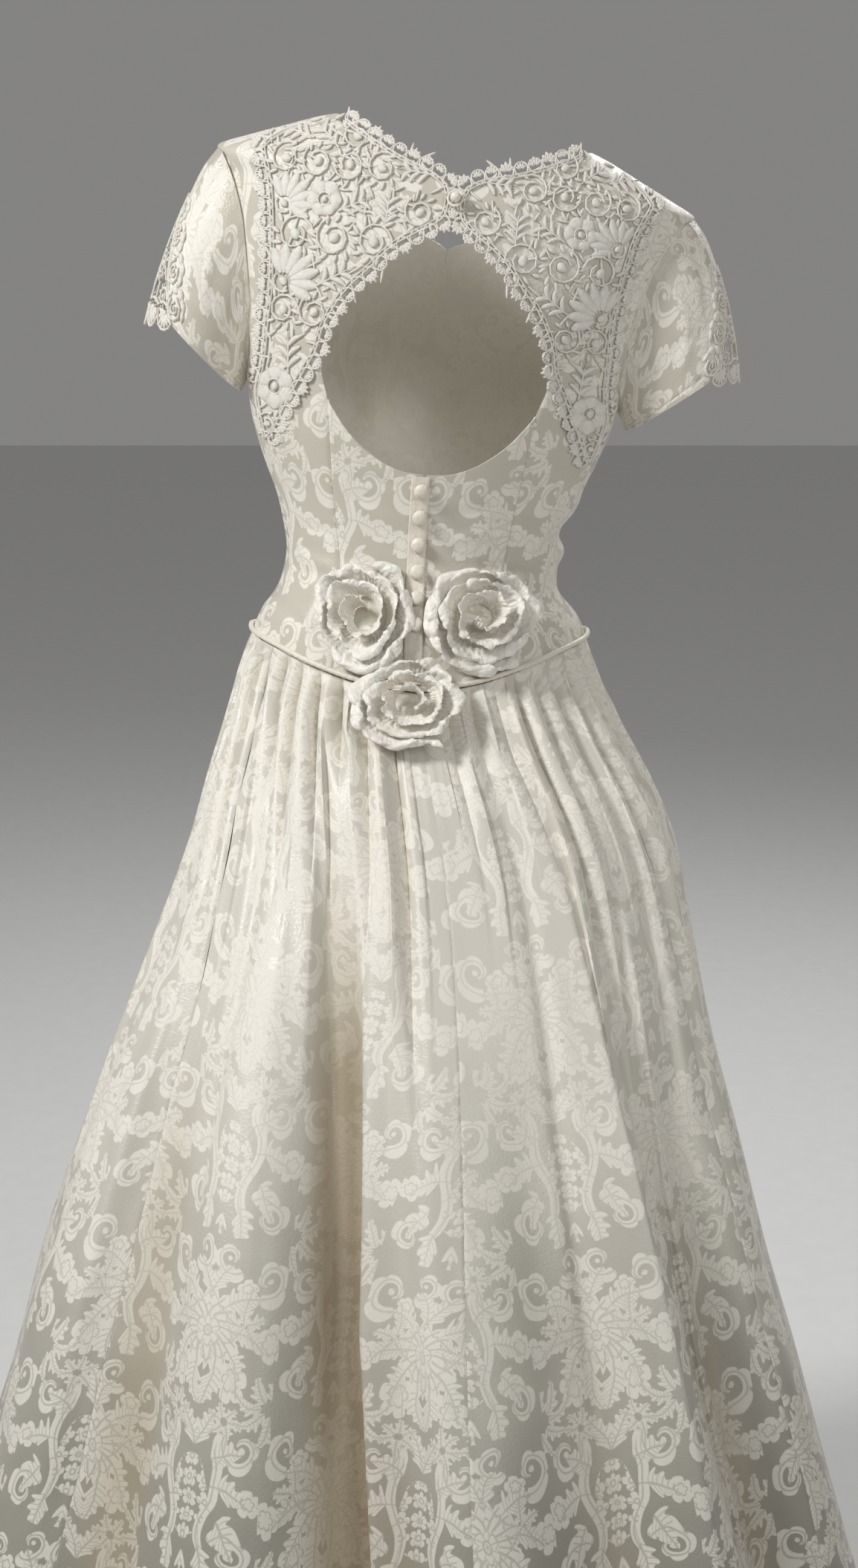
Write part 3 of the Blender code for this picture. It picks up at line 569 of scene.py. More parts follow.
def normals(surface, a, b, step_a, step_b):
    """Unit normal of a two-parameter surface from four points beside each point."""
    along_a = surface(a + step_a, b) - surface(a - step_a, b)
    along_b = surface(a, b + step_b) - surface(a, b - step_b)
    normal = np.cross(along_a, along_b)
    return normal / np.linalg.norm(normal, axis=-1, keepdims=True)


def on_torso(x, h, out):
    """Points over the back of the bodice: body x and height, then moved out."""
    turn = turn_at(x, h)
    return torso(turn, h) + normals(torso, turn, h, 0.5, 0.5) * np.asarray(out)[..., None]


print("waist girth in mm:", round(float(np.linalg.norm(np.diff(
    torso(np.linspace(0, 360, 200), np.zeros(200)), axis=0), axis=1).sum())))

# %% [markdown]
# ## Cloth as a closed thin wall
# Real cloth has two faces and a cut edge. A plane would look like paper at its rim, so each
# panel is a grid of outer points, the same grid moved in by the cloth's thickness, and a rim
# that joins them. Creases are long soft troughs and ridges: each is a line on the cloth with
# its own length, width and depth, placed where the real cloth is pulled.

# %% From grids to closed walls
def put_piece(name, mesh, material):
    """The mesh as a shaded piece of the gown, in the frame's one body."""
    mesh.materials.append(material)
    mesh.shade_smooth()
    made = show(name, mesh)
    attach(made, "root")
    return made


def put_mesh(name, points, faces, corner_uv, material, slot, smooth=50.0, **numbers):
    """One object from points in millimetres, four-cornered faces and a map per corner."""
    mesh = bpy.data.meshes.new(name)
    mesh.vertices.add(len(points))
    mesh.vertices.foreach_set("co", (points * MM).astype(np.float32).ravel())
    mesh.loops.add(faces.size)
    mesh.loops.foreach_set("vertex_index", faces.astype(np.int32).ravel())
    mesh.polygons.add(len(faces))
    mesh.polygons.foreach_set("loop_start", np.arange(0, faces.size, 4, dtype=np.int32))
    if corner_uv is not None:
        layer = mesh.uv_layers.new(name="cloth")
        layer.data.foreach_set("uv", (corner_uv * MM).astype(np.float32).ravel())
    for number, values in numbers.items():
        stored = mesh.attributes.new(number, "FLOAT", "POINT")
        stored.data.foreach_set("value", np.asarray(values, np.float32))
    mesh.update(calc_edges=True)
    mesh.validate()
    made = put_piece(name, mesh, material)
    mesh.set_sharp_from_angle(angle=np.radians(smooth))
    return made


def cells_of(rows, columns):
    """Corner numbers of each cell of a grid."""
    corner = np.arange(rows * columns).reshape(rows, columns)
    return np.stack([corner[:-1, :-1], corner[:-1, 1:], corner[1:, 1:], corner[1:, :-1]], axis=-1)


def wall(name, outer, inner, uv, material, slot, keep=None, deep=None):
    """Closed wall: outer grid, inner grid turned over, and a rim round its open edges. Points
    that meet are one point, and an edge that no neighbour runs back along is an open one."""
    cells = cells_of(*outer.shape[:2])
    cells = cells[keep] if keep is not None else cells.reshape(-1, 4)
    points, under, flat_uv = outer.reshape(-1, 3), inner.reshape(-1, 3), uv.reshape(-1, 2)
    first = points[cells]
    facing = np.cross(first[:, 2] - first[:, 0], first[:, 3] - first[:, 1])
    if (facing * (points - under)[cells[:, 0]]).sum() < 0:
        cells = cells[:, ::-1]
    used = np.unique(cells)
    _, index, back = np.unique(np.round(points[used], 3), axis=0, return_index=True,
                               return_inverse=True)
    place = np.full(len(points), -1)
    place[used] = back.reshape(-1)
    count = len(index)
    starts, ends = cells, np.roll(cells, -1, axis=1)
    code = place[starts].astype(np.int64) * count + place[ends]
    turned_code = place[ends].astype(np.int64) * count + place[starts]
    open_edge = ~np.isin(code, turned_code)
    a, b = starts[open_edge], ends[open_edge]
    front = place[cells]
    rim = np.stack([place[b], place[a], place[a] + count, place[b] + count], axis=-1)
    faces = np.concatenate([front, front[:, ::-1] + count, rim])
    corner_uv = np.concatenate([flat_uv[cells], flat_uv[cells[:, ::-1]],
                                flat_uv[np.stack([b, a, a, b], axis=-1)]])
    both = np.concatenate([points[used][index], under[used][index]])
    numbers = {"reverse": np.repeat([0.0, 1.0], count)}
    # The deep share, kept at each point, sets painted shade in the valleys of folds.
    if deep is not None:
        numbers["deep"] = np.tile(np.clip(deep, 0, 1).reshape(-1)[used[index]], 2)
    return put_mesh(name, both, faces, corner_uv.reshape(-1, 2), material, slot, **numbers)


def outward(outer, core):
    """Unit normals of a grid, from its neighbours on both sides, turned away from its core."""
    normal = np.cross(np.gradient(outer, axis=1), np.gradient(outer, axis=0))
    normal /= np.maximum(np.linalg.norm(normal, axis=-1, keepdims=True), 1e-9)
    return normal if (normal * (outer - core)).sum() >= 0 else -normal


def cloth_wall(name, outer, core, uv, thick, material, slot, keep=None, deep=None):
    """Wall from one grid: the inner grid lies one thickness nearer the core."""
    inner = outer - outward(outer, core) * thick
    return wall(name, outer, inner, uv, material, slot, keep, deep)


def creased(table, p, q):
    """Rise of all creases at places (p, q): each row is a bowed line whose cross section is a
    soft bell, fading to nothing at both ends."""
    total = np.zeros(np.broadcast(p, q).shape)
    for p0, q0, p1, q1, bow, half, rise in table:
        length = np.hypot(p1 - p0, q1 - q0)
        ahead = ((p1 - p0) / length, (q1 - q0) / length)
        share = ((p - p0) * ahead[0] + (q - q0) * ahead[1]) / length
        inside = np.clip(share, 0, 1)
        aside = (q - q0) * ahead[0] - (p - p0) * ahead[1] - bow * 4 * inside * (1 - inside)
        beyond = (share - inside) * length
        fade = np.sin(np.pi * inside) ** 0.7
        total += rise * fade * np.exp(-(aside ** 2 + beyond ** 2) / half ** 2)
    return total


def eased(count, fine=0.006):
    """Even shares from 0 to 1, with two close ones at each end for the seam's groove."""
    return np.unique(np.concatenate([np.linspace(0, 1, count), [fine, 2 * fine],
                                     [1 - fine, 1 - 2 * fine]]))


# %% [markdown]
# ## The bodice
# Four shaped back panels meet at curved seams that run from the waist up past the keyhole,
# and one front is cut on the fold. The cutting lines are short tables of rows, one for each
# level, read as smooth curves. Between its two edges a panel is ruled straight across, and
# its last 2 mm turn in, which is how a pressed seam shows on the outside.

# %% Bodice tables
BACK_ROWS = np.array([
    # inner x, inner h, outer x, outer h (an outer x of 0 is the side or shoulder seam)
    (71, -87, 0, -66),
    (69, -62, 0, -52),
    (68, -42, 0, -38),
    (68, -24, 0, -24),
    (68, -6, 0, -8),
    (70, 12, 0, 6),
    (73, 32, 0, 20),
    (76, 54, 0, 38),
    (79, 78, 0, 58),
    (82, 105, 0, 85),
    (85, 128, 0, 110),
    (92, 150, 0, 134),
    (94, 174, 154, 154),
    (87, 192, 155, 175),
    (79, 206, 156, 195),
    (62, 227, 160, 218),
    (44, 249, 164, 238),
    (22, 263, 168, 256),
    (6, 272, 173, 270),
    (4, 289, 179, 283),
    (8, 305, 186, 295),
    (24, 312, 192, 304),
    (54, 321, 0, 312),
    (80, 332, 0, 324),
    (103, 348, 0, 339),
], float)
PRINCESS_ROWS, UNDERARM_ROW, SHOULDER_ROW = 11, 11, 22
KEYHOLE_LOW = np.array([(85, 128), (68, 105), (47, 87), (25, 77), (0.2, 74)], float)
FRONT_ROWS = np.array([
    # inner x, inner h, outer x, outer h
    (0, -111, 0, -66),
    (0, -78, 0, -52),
    (0, -50, 0, -38),
    (0, -27, 0, -24),
    (0, -6, 0, -8),
    (0, 16, 0, 6),
    (0, 40, 0, 20),
    (0, 64, 0, 38),
    (0, 90, 0, 58),
    (0, 122, 0, 85),
    (0, 154, 0, 110),
    (0, 184, 0, 134),
    (0, 206, 150, 154),
    (0, 224, 146, 175),
    (0, 240, 146, 195),
    (0, 254, 150, 218),
    (14, 262, 156, 238),
    (32, 268, 162, 256),
    (48, 278, 169, 270),
    (60, 289, 176, 283),
    (70, 301, 184, 295),
    (79, 312, 191, 304),
    (87, 323, 0, 312),
    (95, 335, 0, 324),
    (103, 348, 0, 339),
], float)
CLOTH = 1.2
SEAM_EASE, SEAM_GROOVE, SEAM_HALF, SEAM_CALM = 0.1, 0.9, 1.6, 7.0
print("levels in a back panel:", len(BACK_ROWS), "and in half the front:", len(FRONT_ROWS))

# %% Creases of the bodice, seen from behind
BACK_CREASES = np.array([
    # from x, h, to x, h, bow, half width, rise
    (-112, -12, -40, -30, 4, 5.0, -1.6),
    (-116, 4, -48, -8, -3, 4.5, 1.3),
    (-114, 20, -60, 14, 5, 5.0, -1.3),
    (-84, -52, -30, -66, 4, 6.0, 1.3),
    (-66, -20, -14, -34, -5, 4.5, -1.0),
    (-60, 44, -20, 26, 5, 5.0, 0.9),
    (-62, 66, -16, 58, 5, 4.0, -0.8),
    (118, -30, 40, -38, -6, 5.0, -2.0),
    (120, -12, 52, -24, -4, 4.5, 1.8),
    (118, 8, 46, 2, 6, 5.0, -2.2),
    (122, 26, 58, 24, -5, 5.0, 1.8),
    (128, 44, 70, 52, 5, 5.5, -1.8),
    (136, 66, 84, 82, -6, 6.0, 1.2),
    (60, -6, 16, -16, 4, 4.5, -1.2),
    (66, 26, 20, 18, -5, 4.5, 1.0),
    (62, 56, 18, 46, 5, 5.0, -0.9),
    (-104, 88, -92, 150, 6, 6.0, -0.9),
    (-128, 70, -118, 136, -6, 7.0, 1.0),
    (112, 92, 120, 150, 5, 6.0, -0.9),
    (-72, -58, -66, 40, 3, 7.0, 0.8),
    (84, -50, 74, 60, -3, 7.0, 0.8),
    (-130, -40, -96, -56, 4, 5.0, -1.2),
    (132, -48, 98, -60, -4, 5.0, -1.2),
], float)
FRONT_CREASES = np.array([
    # from x, h, to x, h, bow, half width, rise
    (-112, -8, -30, -24, 5, 5.0, -1.5),
    (-112, 14, -50, 10, -4, 5.0, 1.2),
    (112, -14, 36, -28, -5, 5.0, -1.7),
    (114, 12, 44, 4, 5, 5.0, 1.4),
    (118, 36, 60, 40, -5, 5.0, -1.3),
    (-66, 66, -98, 30, 5, 6.0, -1.0),
    (66, 66, 98, 30, -5, 6.0, -1.0),
    (-120, 150, -96, 190, 4, 6.0, 1.0),
    (120, 150, 96, 190, -4, 6.0, 1.0),
    (-30, -60, 24, -70, 4, 6.0, 1.0),
    (-120, 60, -84, 96, 5, 6.0, -0.9),
    (122, 62, 84, 98, -5, 6.0, -0.9),
], float)
print("creases behind:", len(BACK_CREASES), "and in front:", len(FRONT_CREASES))

# %% Panels over the body
MAP_LIFT = 160.0


def refined(grid, count):
    """More rows for a grid: a smooth curve through its rows, column by column."""
    rows = np.arange(len(grid), dtype=float)
    return between(rows, grid, np.linspace(0, len(grid) - 1, count))


def ruled(inner_turn, inner_h, outer_turn, outer_h, share):
    """Turns and heights of a panel: straight rulings from its inner to its outer edge."""
    turn = inner_turn[:, None] + (outer_turn - inner_turn)[:, None] * share
    return turn, inner_h[:, None] + (outer_h - inner_h)[:, None] * share


def edge_turns(rows, in_front, ease=SEAM_EASE):
    """Turns of a half's inner and outer edges, on the right, each eased off its seam."""
    inner_x, inner_h, outer_x, outer_h = rows.T
    inner = turn_at(inner_x, inner_h)
    seam = 90 - np.degrees(ease / 100)
    outer = np.where(outer_x == 0, seam, turn_at(outer_x, outer_h))
    return (180 - inner, 180 - outer) if in_front else (inner, outer)


def girth_from(turn, h, start):
    """Distance round the body from a starting turn: sixteen short chords added up."""
    shares = np.linspace(0, 1, 17)[:, None, None]
    path = torso(start + (turn - start) * shares, h[None])
    return np.linalg.norm(np.diff(path, axis=0), axis=-1).sum(axis=0) * np.sign(turn - start)


def from_edges(outer):
    """Distance in millimetres from each point to the nearer of a grid's two side edges."""
    step = np.linalg.norm(np.diff(outer, axis=1), axis=-1)
    left = np.concatenate([np.zeros((len(outer), 1)), np.cumsum(step, axis=1)], axis=1)
    return np.minimum(left, left[:, -1:] - left)


def torso_panel(name, turn, h, grain, keep=None):
    """Panel over the body: creased, turned in at its seams, with its map along the grain."""
    base = torso(turn, h)
    x = between(TORSO_H, TORSO_HALF, h) * np.sin(np.radians(turn))
    rise = np.where(np.cos(np.radians(turn)) > 0,
                    creased(BACK_CREASES, x, h), creased(FRONT_CREASES, x, h))
    edge = from_edges(base)
    rise = rise * (1 - bell(edge / SEAM_CALM)) - SEAM_GROOVE * bell(edge / SEAM_HALF)
    outer = base + normals(torso, turn, h, 0.5, 0.5) * rise[..., None]
    uv = np.stack([girth_from(turn, h, grain), h + MAP_LIFT], axis=-1)
    made = cloth_wall(name, outer, lean(0.0, 0.0, h), uv, CLOTH, BODICE_CLOTH, "brocade", keep)
    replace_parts(made, name)


# %% Back panels
SIDE_BACK_GRID, CENTRE_BACK_GRID, FRONT_GRID = (58, 130), (34, 90), (56, 120)
CLOSING_X = 0.2


def side_back(side, name):
    """Ruled from princess seam and keyhole to side seam and armhole, cut to the basque."""
    columns, rows = SIDE_BACK_GRID
    inner, outer = edge_turns(BACK_ROWS, False)
    inner[:PRINCESS_ROWS] += np.degrees(SEAM_EASE / 100)
    turn, h = ruled(inner, BACK_ROWS[:, 1], outer, BACK_ROWS[:, 3], eased(columns))
    h[0] = basque_edge(turn[0])
    torso_panel(name, side * refined(turn, rows), refined(h, rows), side * 45.0)


def centre_back(side, name):
    """From princess seam to closing: each column is shared out between basque and keyhole."""
    columns, rows = CENTRE_BACK_GRID
    seam_x, seam_h = BACK_ROWS[:PRINCESS_ROWS, 0], BACK_ROWS[:PRINCESS_ROWS, 1]
    seam_turn = turn_at(seam_x, seam_h) - np.degrees(SEAM_EASE / 100)
    share = eased(columns, 0.012)
    turn = seam_turn[:, None] * (1 - share) + turn_at(CLOSING_X, 0) * share
    up = (seam_h - seam_h[0]) / (seam_h[-1] - seam_h[0])
    low = basque_edge(turn[0])
    way = (KEYHOLE_LOW[0, 0] - KEYHOLE_LOW[:, 0]) / (KEYHOLE_LOW[0, 0] - CLOSING_X)
    top = between(way, KEYHOLE_LOW[:, 1], share)
    h = low + (top - low) * up[:, None]
    torso_panel(name, side * refined(turn, rows), refined(h, rows), side * 12.0)


for side, word in ((-1, "left"), (1, "right")):
    side_back(side, "bodice_side_back_" + word)
    centre_back(side, "bodice_centre_back_" + word)

# %% Front panel
columns, rows = FRONT_GRID
inner, outer = edge_turns(FRONT_ROWS, True)
turn, h = ruled(inner, FRONT_ROWS[:, 1], outer, FRONT_ROWS[:, 3], eased(columns)[::-1])
h[0] = basque_edge(turn[0])
turn, h = refined(turn, rows), refined(h, rows)
half_columns = turn.shape[1]
turn = np.concatenate([turn, 360 - turn[:, ::-1]], axis=1)
h = np.concatenate([h, h[:, ::-1]], axis=1)
keep = np.ones((turn.shape[0] - 1, turn.shape[1] - 1), bool)
keep[:, half_columns - 1] = False
torso_panel("bodice_front", turn, h, 180.0, keep)

# %% [markdown]
# ## The skirt
# The skirt is cut full and gathered into the bodice's pointed edge. It could be dropped as a
# cloth simulation, but the folds then fall where the solver likes, so it is one function of
# two parameters: gathers round the waist and the share of the way to the hem. Small gathers
# are round pipes with narrow creases that fade at their own lengths, and broad folds grow
# towards the hem. A fold can also slide sideways, which makes its edge hang over its shadow.
# The deep places are kept as a number at each point, for the painted shade of the valleys.

# %% Skirt tables
SKIRT = np.array([
    # h, left, right, middle y, back, front, seam x
    (-60, 141, 141, 0, 105, 103, 0),
    (-66, 143, 143, 0, 106, 104, 0),
    (-100, 151, 151, 0, 113, 109, 0),
    (-140, 163, 170, -12, 128, 132, 4),
    (-189, 180, 198, -35, 145, 175, 14),
    (-225, 191, 214, -50, 152, 203, 21),
    (-296, 216, 231, -80, 166, 255, 29),
    (-407, 262, 251, -115, 190, 320, 38),
    (-484, 290, 269, -140, 205, 365, 43),
    (-597, 326, 299, -175, 226, 430, 49),
    (-695, 353, 329, -200, 250, 475, 53),
    (-815, 392, 364, -225, 285, 530, 57),
    (-1115, 488, 445, -280, 400, 650, 66),
], float)
SKIRT_H = SKIRT[::-1, 0]
SKIRT_LEFT, SKIRT_RIGHT, SKIRT_MID, SKIRT_BACK, SKIRT_FRONT, SKIRT_SEAM = SKIRT[::-1, 1:].T
HEM_H, SKIRT_DROP, GATHERS = -1115.0, 1.8, 44
GATHER_RISE, GATHER_UNEVEN, CLOSING_FLAT = 14.0, 2.2, 1.6
BROAD_FOLDS = np.array([
    # top turn, hem turn, half width, rise, start below the seam, slide of the crest in mm
    (-27, -9, 14, -46, 30, 6),
    (-42, -26, 16, 20, 60, 5),
    (-56, -46, 13, -20, 120, 0),
    (-74, -64, 17, 18, 150, -5),
    (-95, -86, 14, -18, 90, 0),
    (-118, -110, 18, 20, 120, 6),
    (-142, -134, 15, -20, 80, 0),
    (-165, -158, 17, 20, 120, -6),
    (-8, 8, 13, 22, 120, -14),
    (12, 22, 12, -14, 200, 0),
    (24, 36, 12, 17, 90, 6),
    (38, 50, 12, -20, 160, 0),
    (56, 66, 16, 18, 100, -8),
    (78, 84, 14, -18, 140, 0),
    (100, 106, 17, 18, 80, 6),
    (124, 130, 15, -20, 120, 0),
    (150, 154, 18, 20, 90, -6),
    (176, 178, 14, -18, 130, 0),
], float)
SKIRT_CREASES = np.array([
    # top turn, low turn, from, to in mm below the seam, half width, rise, slide in mm
    (-19, -1, 20, 1300, 11, 16, -27),
    (-31, -21, 20, 560, 8, -6, 0),
    (-36, -30, 0, 300, 7, 5, 5),
    (-47, -45, 0, 420, 8, -6, 0),
    (-58, -58, 0, 260, 7, 4, -3),
    (-66, -60, 60, 700, 12, 5, 4),
    (-12, -6, 10, 330, 7, -4, 0),
    (16, 19, 20, 520, 8, -5, 0),
    (23, 31, 60, 640, 8, 6, 7),
    (33, 37, 150, 620, 10, -8, 0),
    (42, 44, 180, 760, 8, 7, -6),
    (50, 50, 0, 340, 8, -5, 0),
    (62, 60, 30, 460, 9, 5, 4),
    (72, 76, 0, 380, 8, -5, 0),
    (5, 11, 420, 1300, 20, 5, 0),
    (-34, -24, 520, 1300, 18, 6, 6),
    (-50, -40, 640, 1300, 16, -6, 0),
    (28, 30, 560, 1300, 22, 6, 0),
    (90, 92, 0, 500, 9, -5, 0),
    (104, 108, 60, 640, 11, 5, 4),
    (118, 114, 0, 380, 8, -5, 0),
    (133, 136, 40, 560, 10, 6, -5),
    (146, 142, 0, 420, 9, -5, 0),
    (163, 168, 20, 520, 10, 5, 4),
    (186, 182, 0, 460, 9, -6, 0),
    (-84, -80, 30, 520, 9, 5, -4),
    (-104, -102, 0, 440, 9, -5, 0),
    (-128, -124, 60, 600, 11, 6, 5),
    (-152, -150, 0, 400, 9, -5, 0),
], float)
print("gathers:", GATHERS, "broad folds:", len(BROAD_FOLDS), "creases:", len(SKIRT_CREASES))


# %% The skirt's own surface
def gather_turn(gather):
    """Turn of a place counted in gathers, unevenly spaced."""
    uneven = np.sin(0.9 * gather) + 0.6 * np.sin(2.3 * gather + 1)
    closed = np.sin(np.pi * gather / GATHERS) ** 2
    return 360 * gather / GATHERS + GATHER_UNEVEN * uneven * closed


def gather_rise(gather, fall):
    """Small gathers: round pipes, full just under the seam. Sines of a gather's number make
    its length and size uneven, and the ones left of the closing are the tallest."""
    number = np.round(gather)
    length = 215 + 120 * np.sin(2.1 * number) + 80 * np.sin(5.3 * number)
    start = np.clip(fall / 30, 0, 1) ** 0.8
    fade = bump(fall / np.maximum(length, 90))
    size = 1 + 0.45 * np.sin(3.7 * number)
    size = size * (0.6 + 0.4 * np.cos(2 * np.pi * gather / GATHERS) ** 2)
    size = size + 0.75 * bell((gather - 40.5) / 2.5) - 0.2 * bell((gather - 6) / 3)
    flat = 1 - bump(np.minimum(gather, GATHERS - gather) / CLOSING_FLAT)
    pipe = np.abs(np.sin(np.pi * gather)) ** 0.8 - 0.4
    return GATHER_RISE * size * flat * start * fade * pipe


def folds(turn, fall, down, wide):
    """Rise and sideways slide of the broad folds and of the creases between them."""
    rise, slide = np.zeros(turn.shape), np.zeros(turn.shape)
    for top, low, half, high, start, side in BROAD_FOLDS:
        grow = np.clip((fall - start) / 420, 0, 1)
        grow = grow * grow * (3 - 2 * grow)
        away = signed(turn - top - (low - top) * down)
        shape = grow * bump(away / half)
        rise, slide = rise + high * shape, slide + side * shape
    for top, low, start, end, half, high, side in SKIRT_CREASES:
        share = (fall - start) / (end - start)
        inside = np.clip(share, 0, 1)
        away = signed(turn - top - (low - top) * inside)
        shape = np.sin(np.pi * inside) ** 0.6 if end < 1200 else np.clip(inside * 3, 0, 1) ** 1.5
        shape = shape * bell(np.radians(away) * wide / half)
        rise, slide = rise + high * shape, slide + side * shape
    return rise, slide


def skirt(gather, down, with_rise=False):
    """Outer face of the skirt, by gathers round it and share of the way to the hem."""
    gather, down = np.broadcast_arrays(np.asarray(gather, float), np.asarray(down, float))
    turn = signed(gather_turn(gather))
    top = basque_edge(turn) - SKIRT_DROP
    h = top + (HEM_H - top) * down
    fall = top - h
    right, left = between(SKIRT_H, SKIRT_RIGHT, h), between(SKIRT_H, SKIRT_LEFT, h)
    drift = np.degrees(between(SKIRT_H, SKIRT_SEAM, h) / right)
    place = np.radians(turn + drift * (0.5 + 0.5 * np.cos(np.radians(turn))))
    sine, cosine = np.sin(place), np.cos(place)
    wide = np.where(sine > 0, right, left)
    deep = np.where(cosine > 0, between(SKIRT_H, SKIRT_BACK, h), between(SKIRT_H, SKIRT_FRONT, h))
    x, y = wide * sine, between(SKIRT_H, SKIRT_MID, h) - deep * cosine
    out = np.stack([sine / wide, -cosine / deep], axis=-1)
    out /= np.linalg.norm(out, axis=-1, keepdims=True)
    rise, slide = folds(turn, fall, down, wide)
    rise = rise + gather_rise(gather, fall)
    rise = rise + 0.8 * np.sin(0.021 * fall + 0.35 * turn) * np.sin(0.013 * fall - 0.21 * turn)
    made = lean(x + out[..., 0] * rise - out[..., 1] * slide,
                y + out[..., 1] * rise + out[..., 0] * slide, h)
    return (made, rise) if with_rise else made


# %% Skirt panels
SKIRT_PANELS = {
    # first and last gather, columns for each gather, rows
    "skirt_back_right": (0, 7, 20, 190),
    "skirt_side_right": (7, 15, 13, 140),
    "skirt_front": (15, 29, 11, 130),
    "skirt_side_left": (29, 37, 13, 140),
    "skirt_back_left": (37, 44, 20, 190),
}
SEAM_PUCKER, HEM_DEEP, SKIRT_LONG = 0.5, 18.0, 1030.0
# Painted shade of a valley: it starts at the first depth in mm under the smooth cloth and is full the
# second depth further in.
VALLEY_FROM, VALLEY_DEEP = 6.0, 24.0


def skirt_core(middle_y, down):
    """The line inside the skirt that its wall is thick towards."""
    return lean(0.0, middle_y, -60 - 1050 * down)


def from_middle(outer):
    """Cloth distance across from the middle column, and down from the top edge."""
    across = np.linalg.norm(np.diff(outer, axis=1), axis=-1)
    u = np.concatenate([np.zeros((len(outer), 1)), np.cumsum(across, axis=1)], axis=1)
    down = np.linalg.norm(np.diff(outer, axis=0), axis=-1)
    v = np.concatenate([np.zeros((1, outer.shape[1])), np.cumsum(down, axis=0)])
    middle = outer.shape[1] // 2
    v = 0.35 * v + 0.65 * v[:, middle:middle + 1]
    return np.stack([u - u[:, middle:middle + 1], -v], axis=-1)


for name, (first, last, per_gather, rows) in SKIRT_PANELS.items():
    gather = first + (last - first) * eased((last - first) * per_gather + 1, 0.0035)
    gather[[0, -1]] += (0.001, -0.001)
    a, b = np.meshgrid(gather, np.linspace(0, 1, rows) ** 1.35)
    outer, rise = skirt(a, b, True)
    edge, fall = from_edges(outer), 1000 * b
    pucker = SEAM_PUCKER * np.sin(fall * 0.11 + 2 * np.sin(fall * 0.017)) * bell(edge / 9)
    hem = bell((SKIRT_LONG * (1 - b) - HEM_DEEP) / 1.5)
    out = pucker - 0.5 * bell(edge / 1.3) - 0.5 * hem
    outer = outer + outward(outer, skirt_core(outer[..., 1].mean(), b)) * out[..., None]
    # The deep share, from each point's fold rise, gives painted shade in the valleys.
    made = cloth_wall(name, outer, skirt_core(outer[..., 1].mean(), b),
                      from_middle(outer) + (0.0, 90.0), CLOTH, SKIRT_CLOTH, "skirt_brocade",
                      deep=(-VALLEY_FROM - rise) / VALLEY_DEEP)
    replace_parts(made, name)

# %% [markdown]
# ## The sleeves
# A short sleeve is a cap that leaves the armhole, swells over the shoulder and falls to its
# hem. Each line of it is a curve with three control points: the armhole, a knee that makes
# the cap stand up, and the hem. A notch is cut out of the outer arm for the lace.

# %% Sleeve surface
SLEEVES = {
    "left": dict(side=-1, outer=(241, 190), inner=(160, 124), lean=17.5),
    "right": dict(side=1, outer=(252, 192), inner=(165, 118), lean=20.0),
}
SLEEVE_DEPTH, ARMHOLE_GAP = 53.0, 0.5
CAP_REACH, CAP_SWELL, CAP_FULL = 12.0, 34.0, 9.0
NOTCH_FROM, NOTCH_HALF = 0.41, 66.0
ARM_MM_PER_DEGREE, ARM_MM_LONG = 0.95, 115.0
SLEEVE_HEM, SLEEVE_CALM = 0.93, 0.12
SLEEVE_CREASES = np.array([
    # from mm round the arm and down it, to, bow, half width, rise
    (-30, -4, -52, -70, 5, 6.0, -1.4),
    (34, -4, 50, -78, -5, 6.0, -1.4),
    (-70, -10, -84, -90, 6, 6.5, 1.5),
    (72, -10, 88, -84, -6, 6.5, 1.4),
    (-110, -16, -118, -100, 4, 6.0, -1.4),
    (112, -14, 122, -96, -4, 6.0, -1.3),
    (-8, -10, 6, -44, 3, 6.0, 1.0),
    (-150, -20, -140, -100, 5, 6.0, 1.2),
    (150, -20, 146, -100, -5, 6.0, 1.2),
    (-95, -60, -50, -86, 4, 5.0, -1.0),
    (96, -66, 56, -92, -4, 5.0, -1.0),
], float)


def armhole(side):
    """Closed run of armhole points, from the underarm up the back and down the front."""
    runs = []
    for rows, in_front in ((BACK_ROWS, False), (FRONT_ROWS, True)):
        _, outer = edge_turns(rows, in_front, 0.2)
        part = slice(UNDERARM_ROW, SHOULDER_ROW + 1)
        runs.append(torso(side * outer[part], rows[part, 3]))
    back, front = runs
    top, low = (back[-1] + front[-1]) / 2, (back[0] + front[0]) / 2
    back[-1], front[-1], back[0], front[0] = top, top, low, low
    return np.concatenate([back, front[-2::-1]])


def sleeve_surface(arm):
    """Sleeve by turn round the arm (0 and 360 underarm, 180 outside) and way down it."""
    side = arm["side"]
    loop = armhole(side)
    loop_turn = np.linspace(0, 360, len(loop))
    outer, inner = np.array(arm["outer"], float), np.array(arm["inner"], float)
    centre, reach = (outer + inner) / 2, (outer - inner) / 2
    slope = np.radians(arm["lean"])

    def surface(turn, down):
        """Three weights that add up to 1, for the armhole, the knee and the hem."""
        turn, down = np.broadcast_arrays(turn, down)
        angle = np.radians(turn)
        start = np.stack([np.interp(turn, loop_turn, loop[:, k]) for k in range(3)], axis=-1)
        x = centre[0] - reach[0] * np.cos(angle)
        h = centre[1] - reach[1] * np.cos(angle)
        y = -SLEEVE_DEPTH * np.sin(angle)
        back_up = CAP_REACH + CAP_SWELL * (1 - np.cos(angle))
        full = CAP_FULL * (0.5 - 0.5 * np.cos(angle))
        hem = lean(side * x, y, h)
        knee = lean(side * (x - back_up * np.sin(slope) + full * np.cos(slope)), y,
                    h + back_up * np.cos(slope) + full * np.sin(slope))
        away = (knee - start) / np.linalg.norm(knee - start, axis=-1, keepdims=True)
        start = start + away * ARMHOLE_GAP
        s = down[..., None]
        return (1 - s) ** 2 * start + 2 * s * (1 - s) * knee + s ** 2 * hem

    return surface


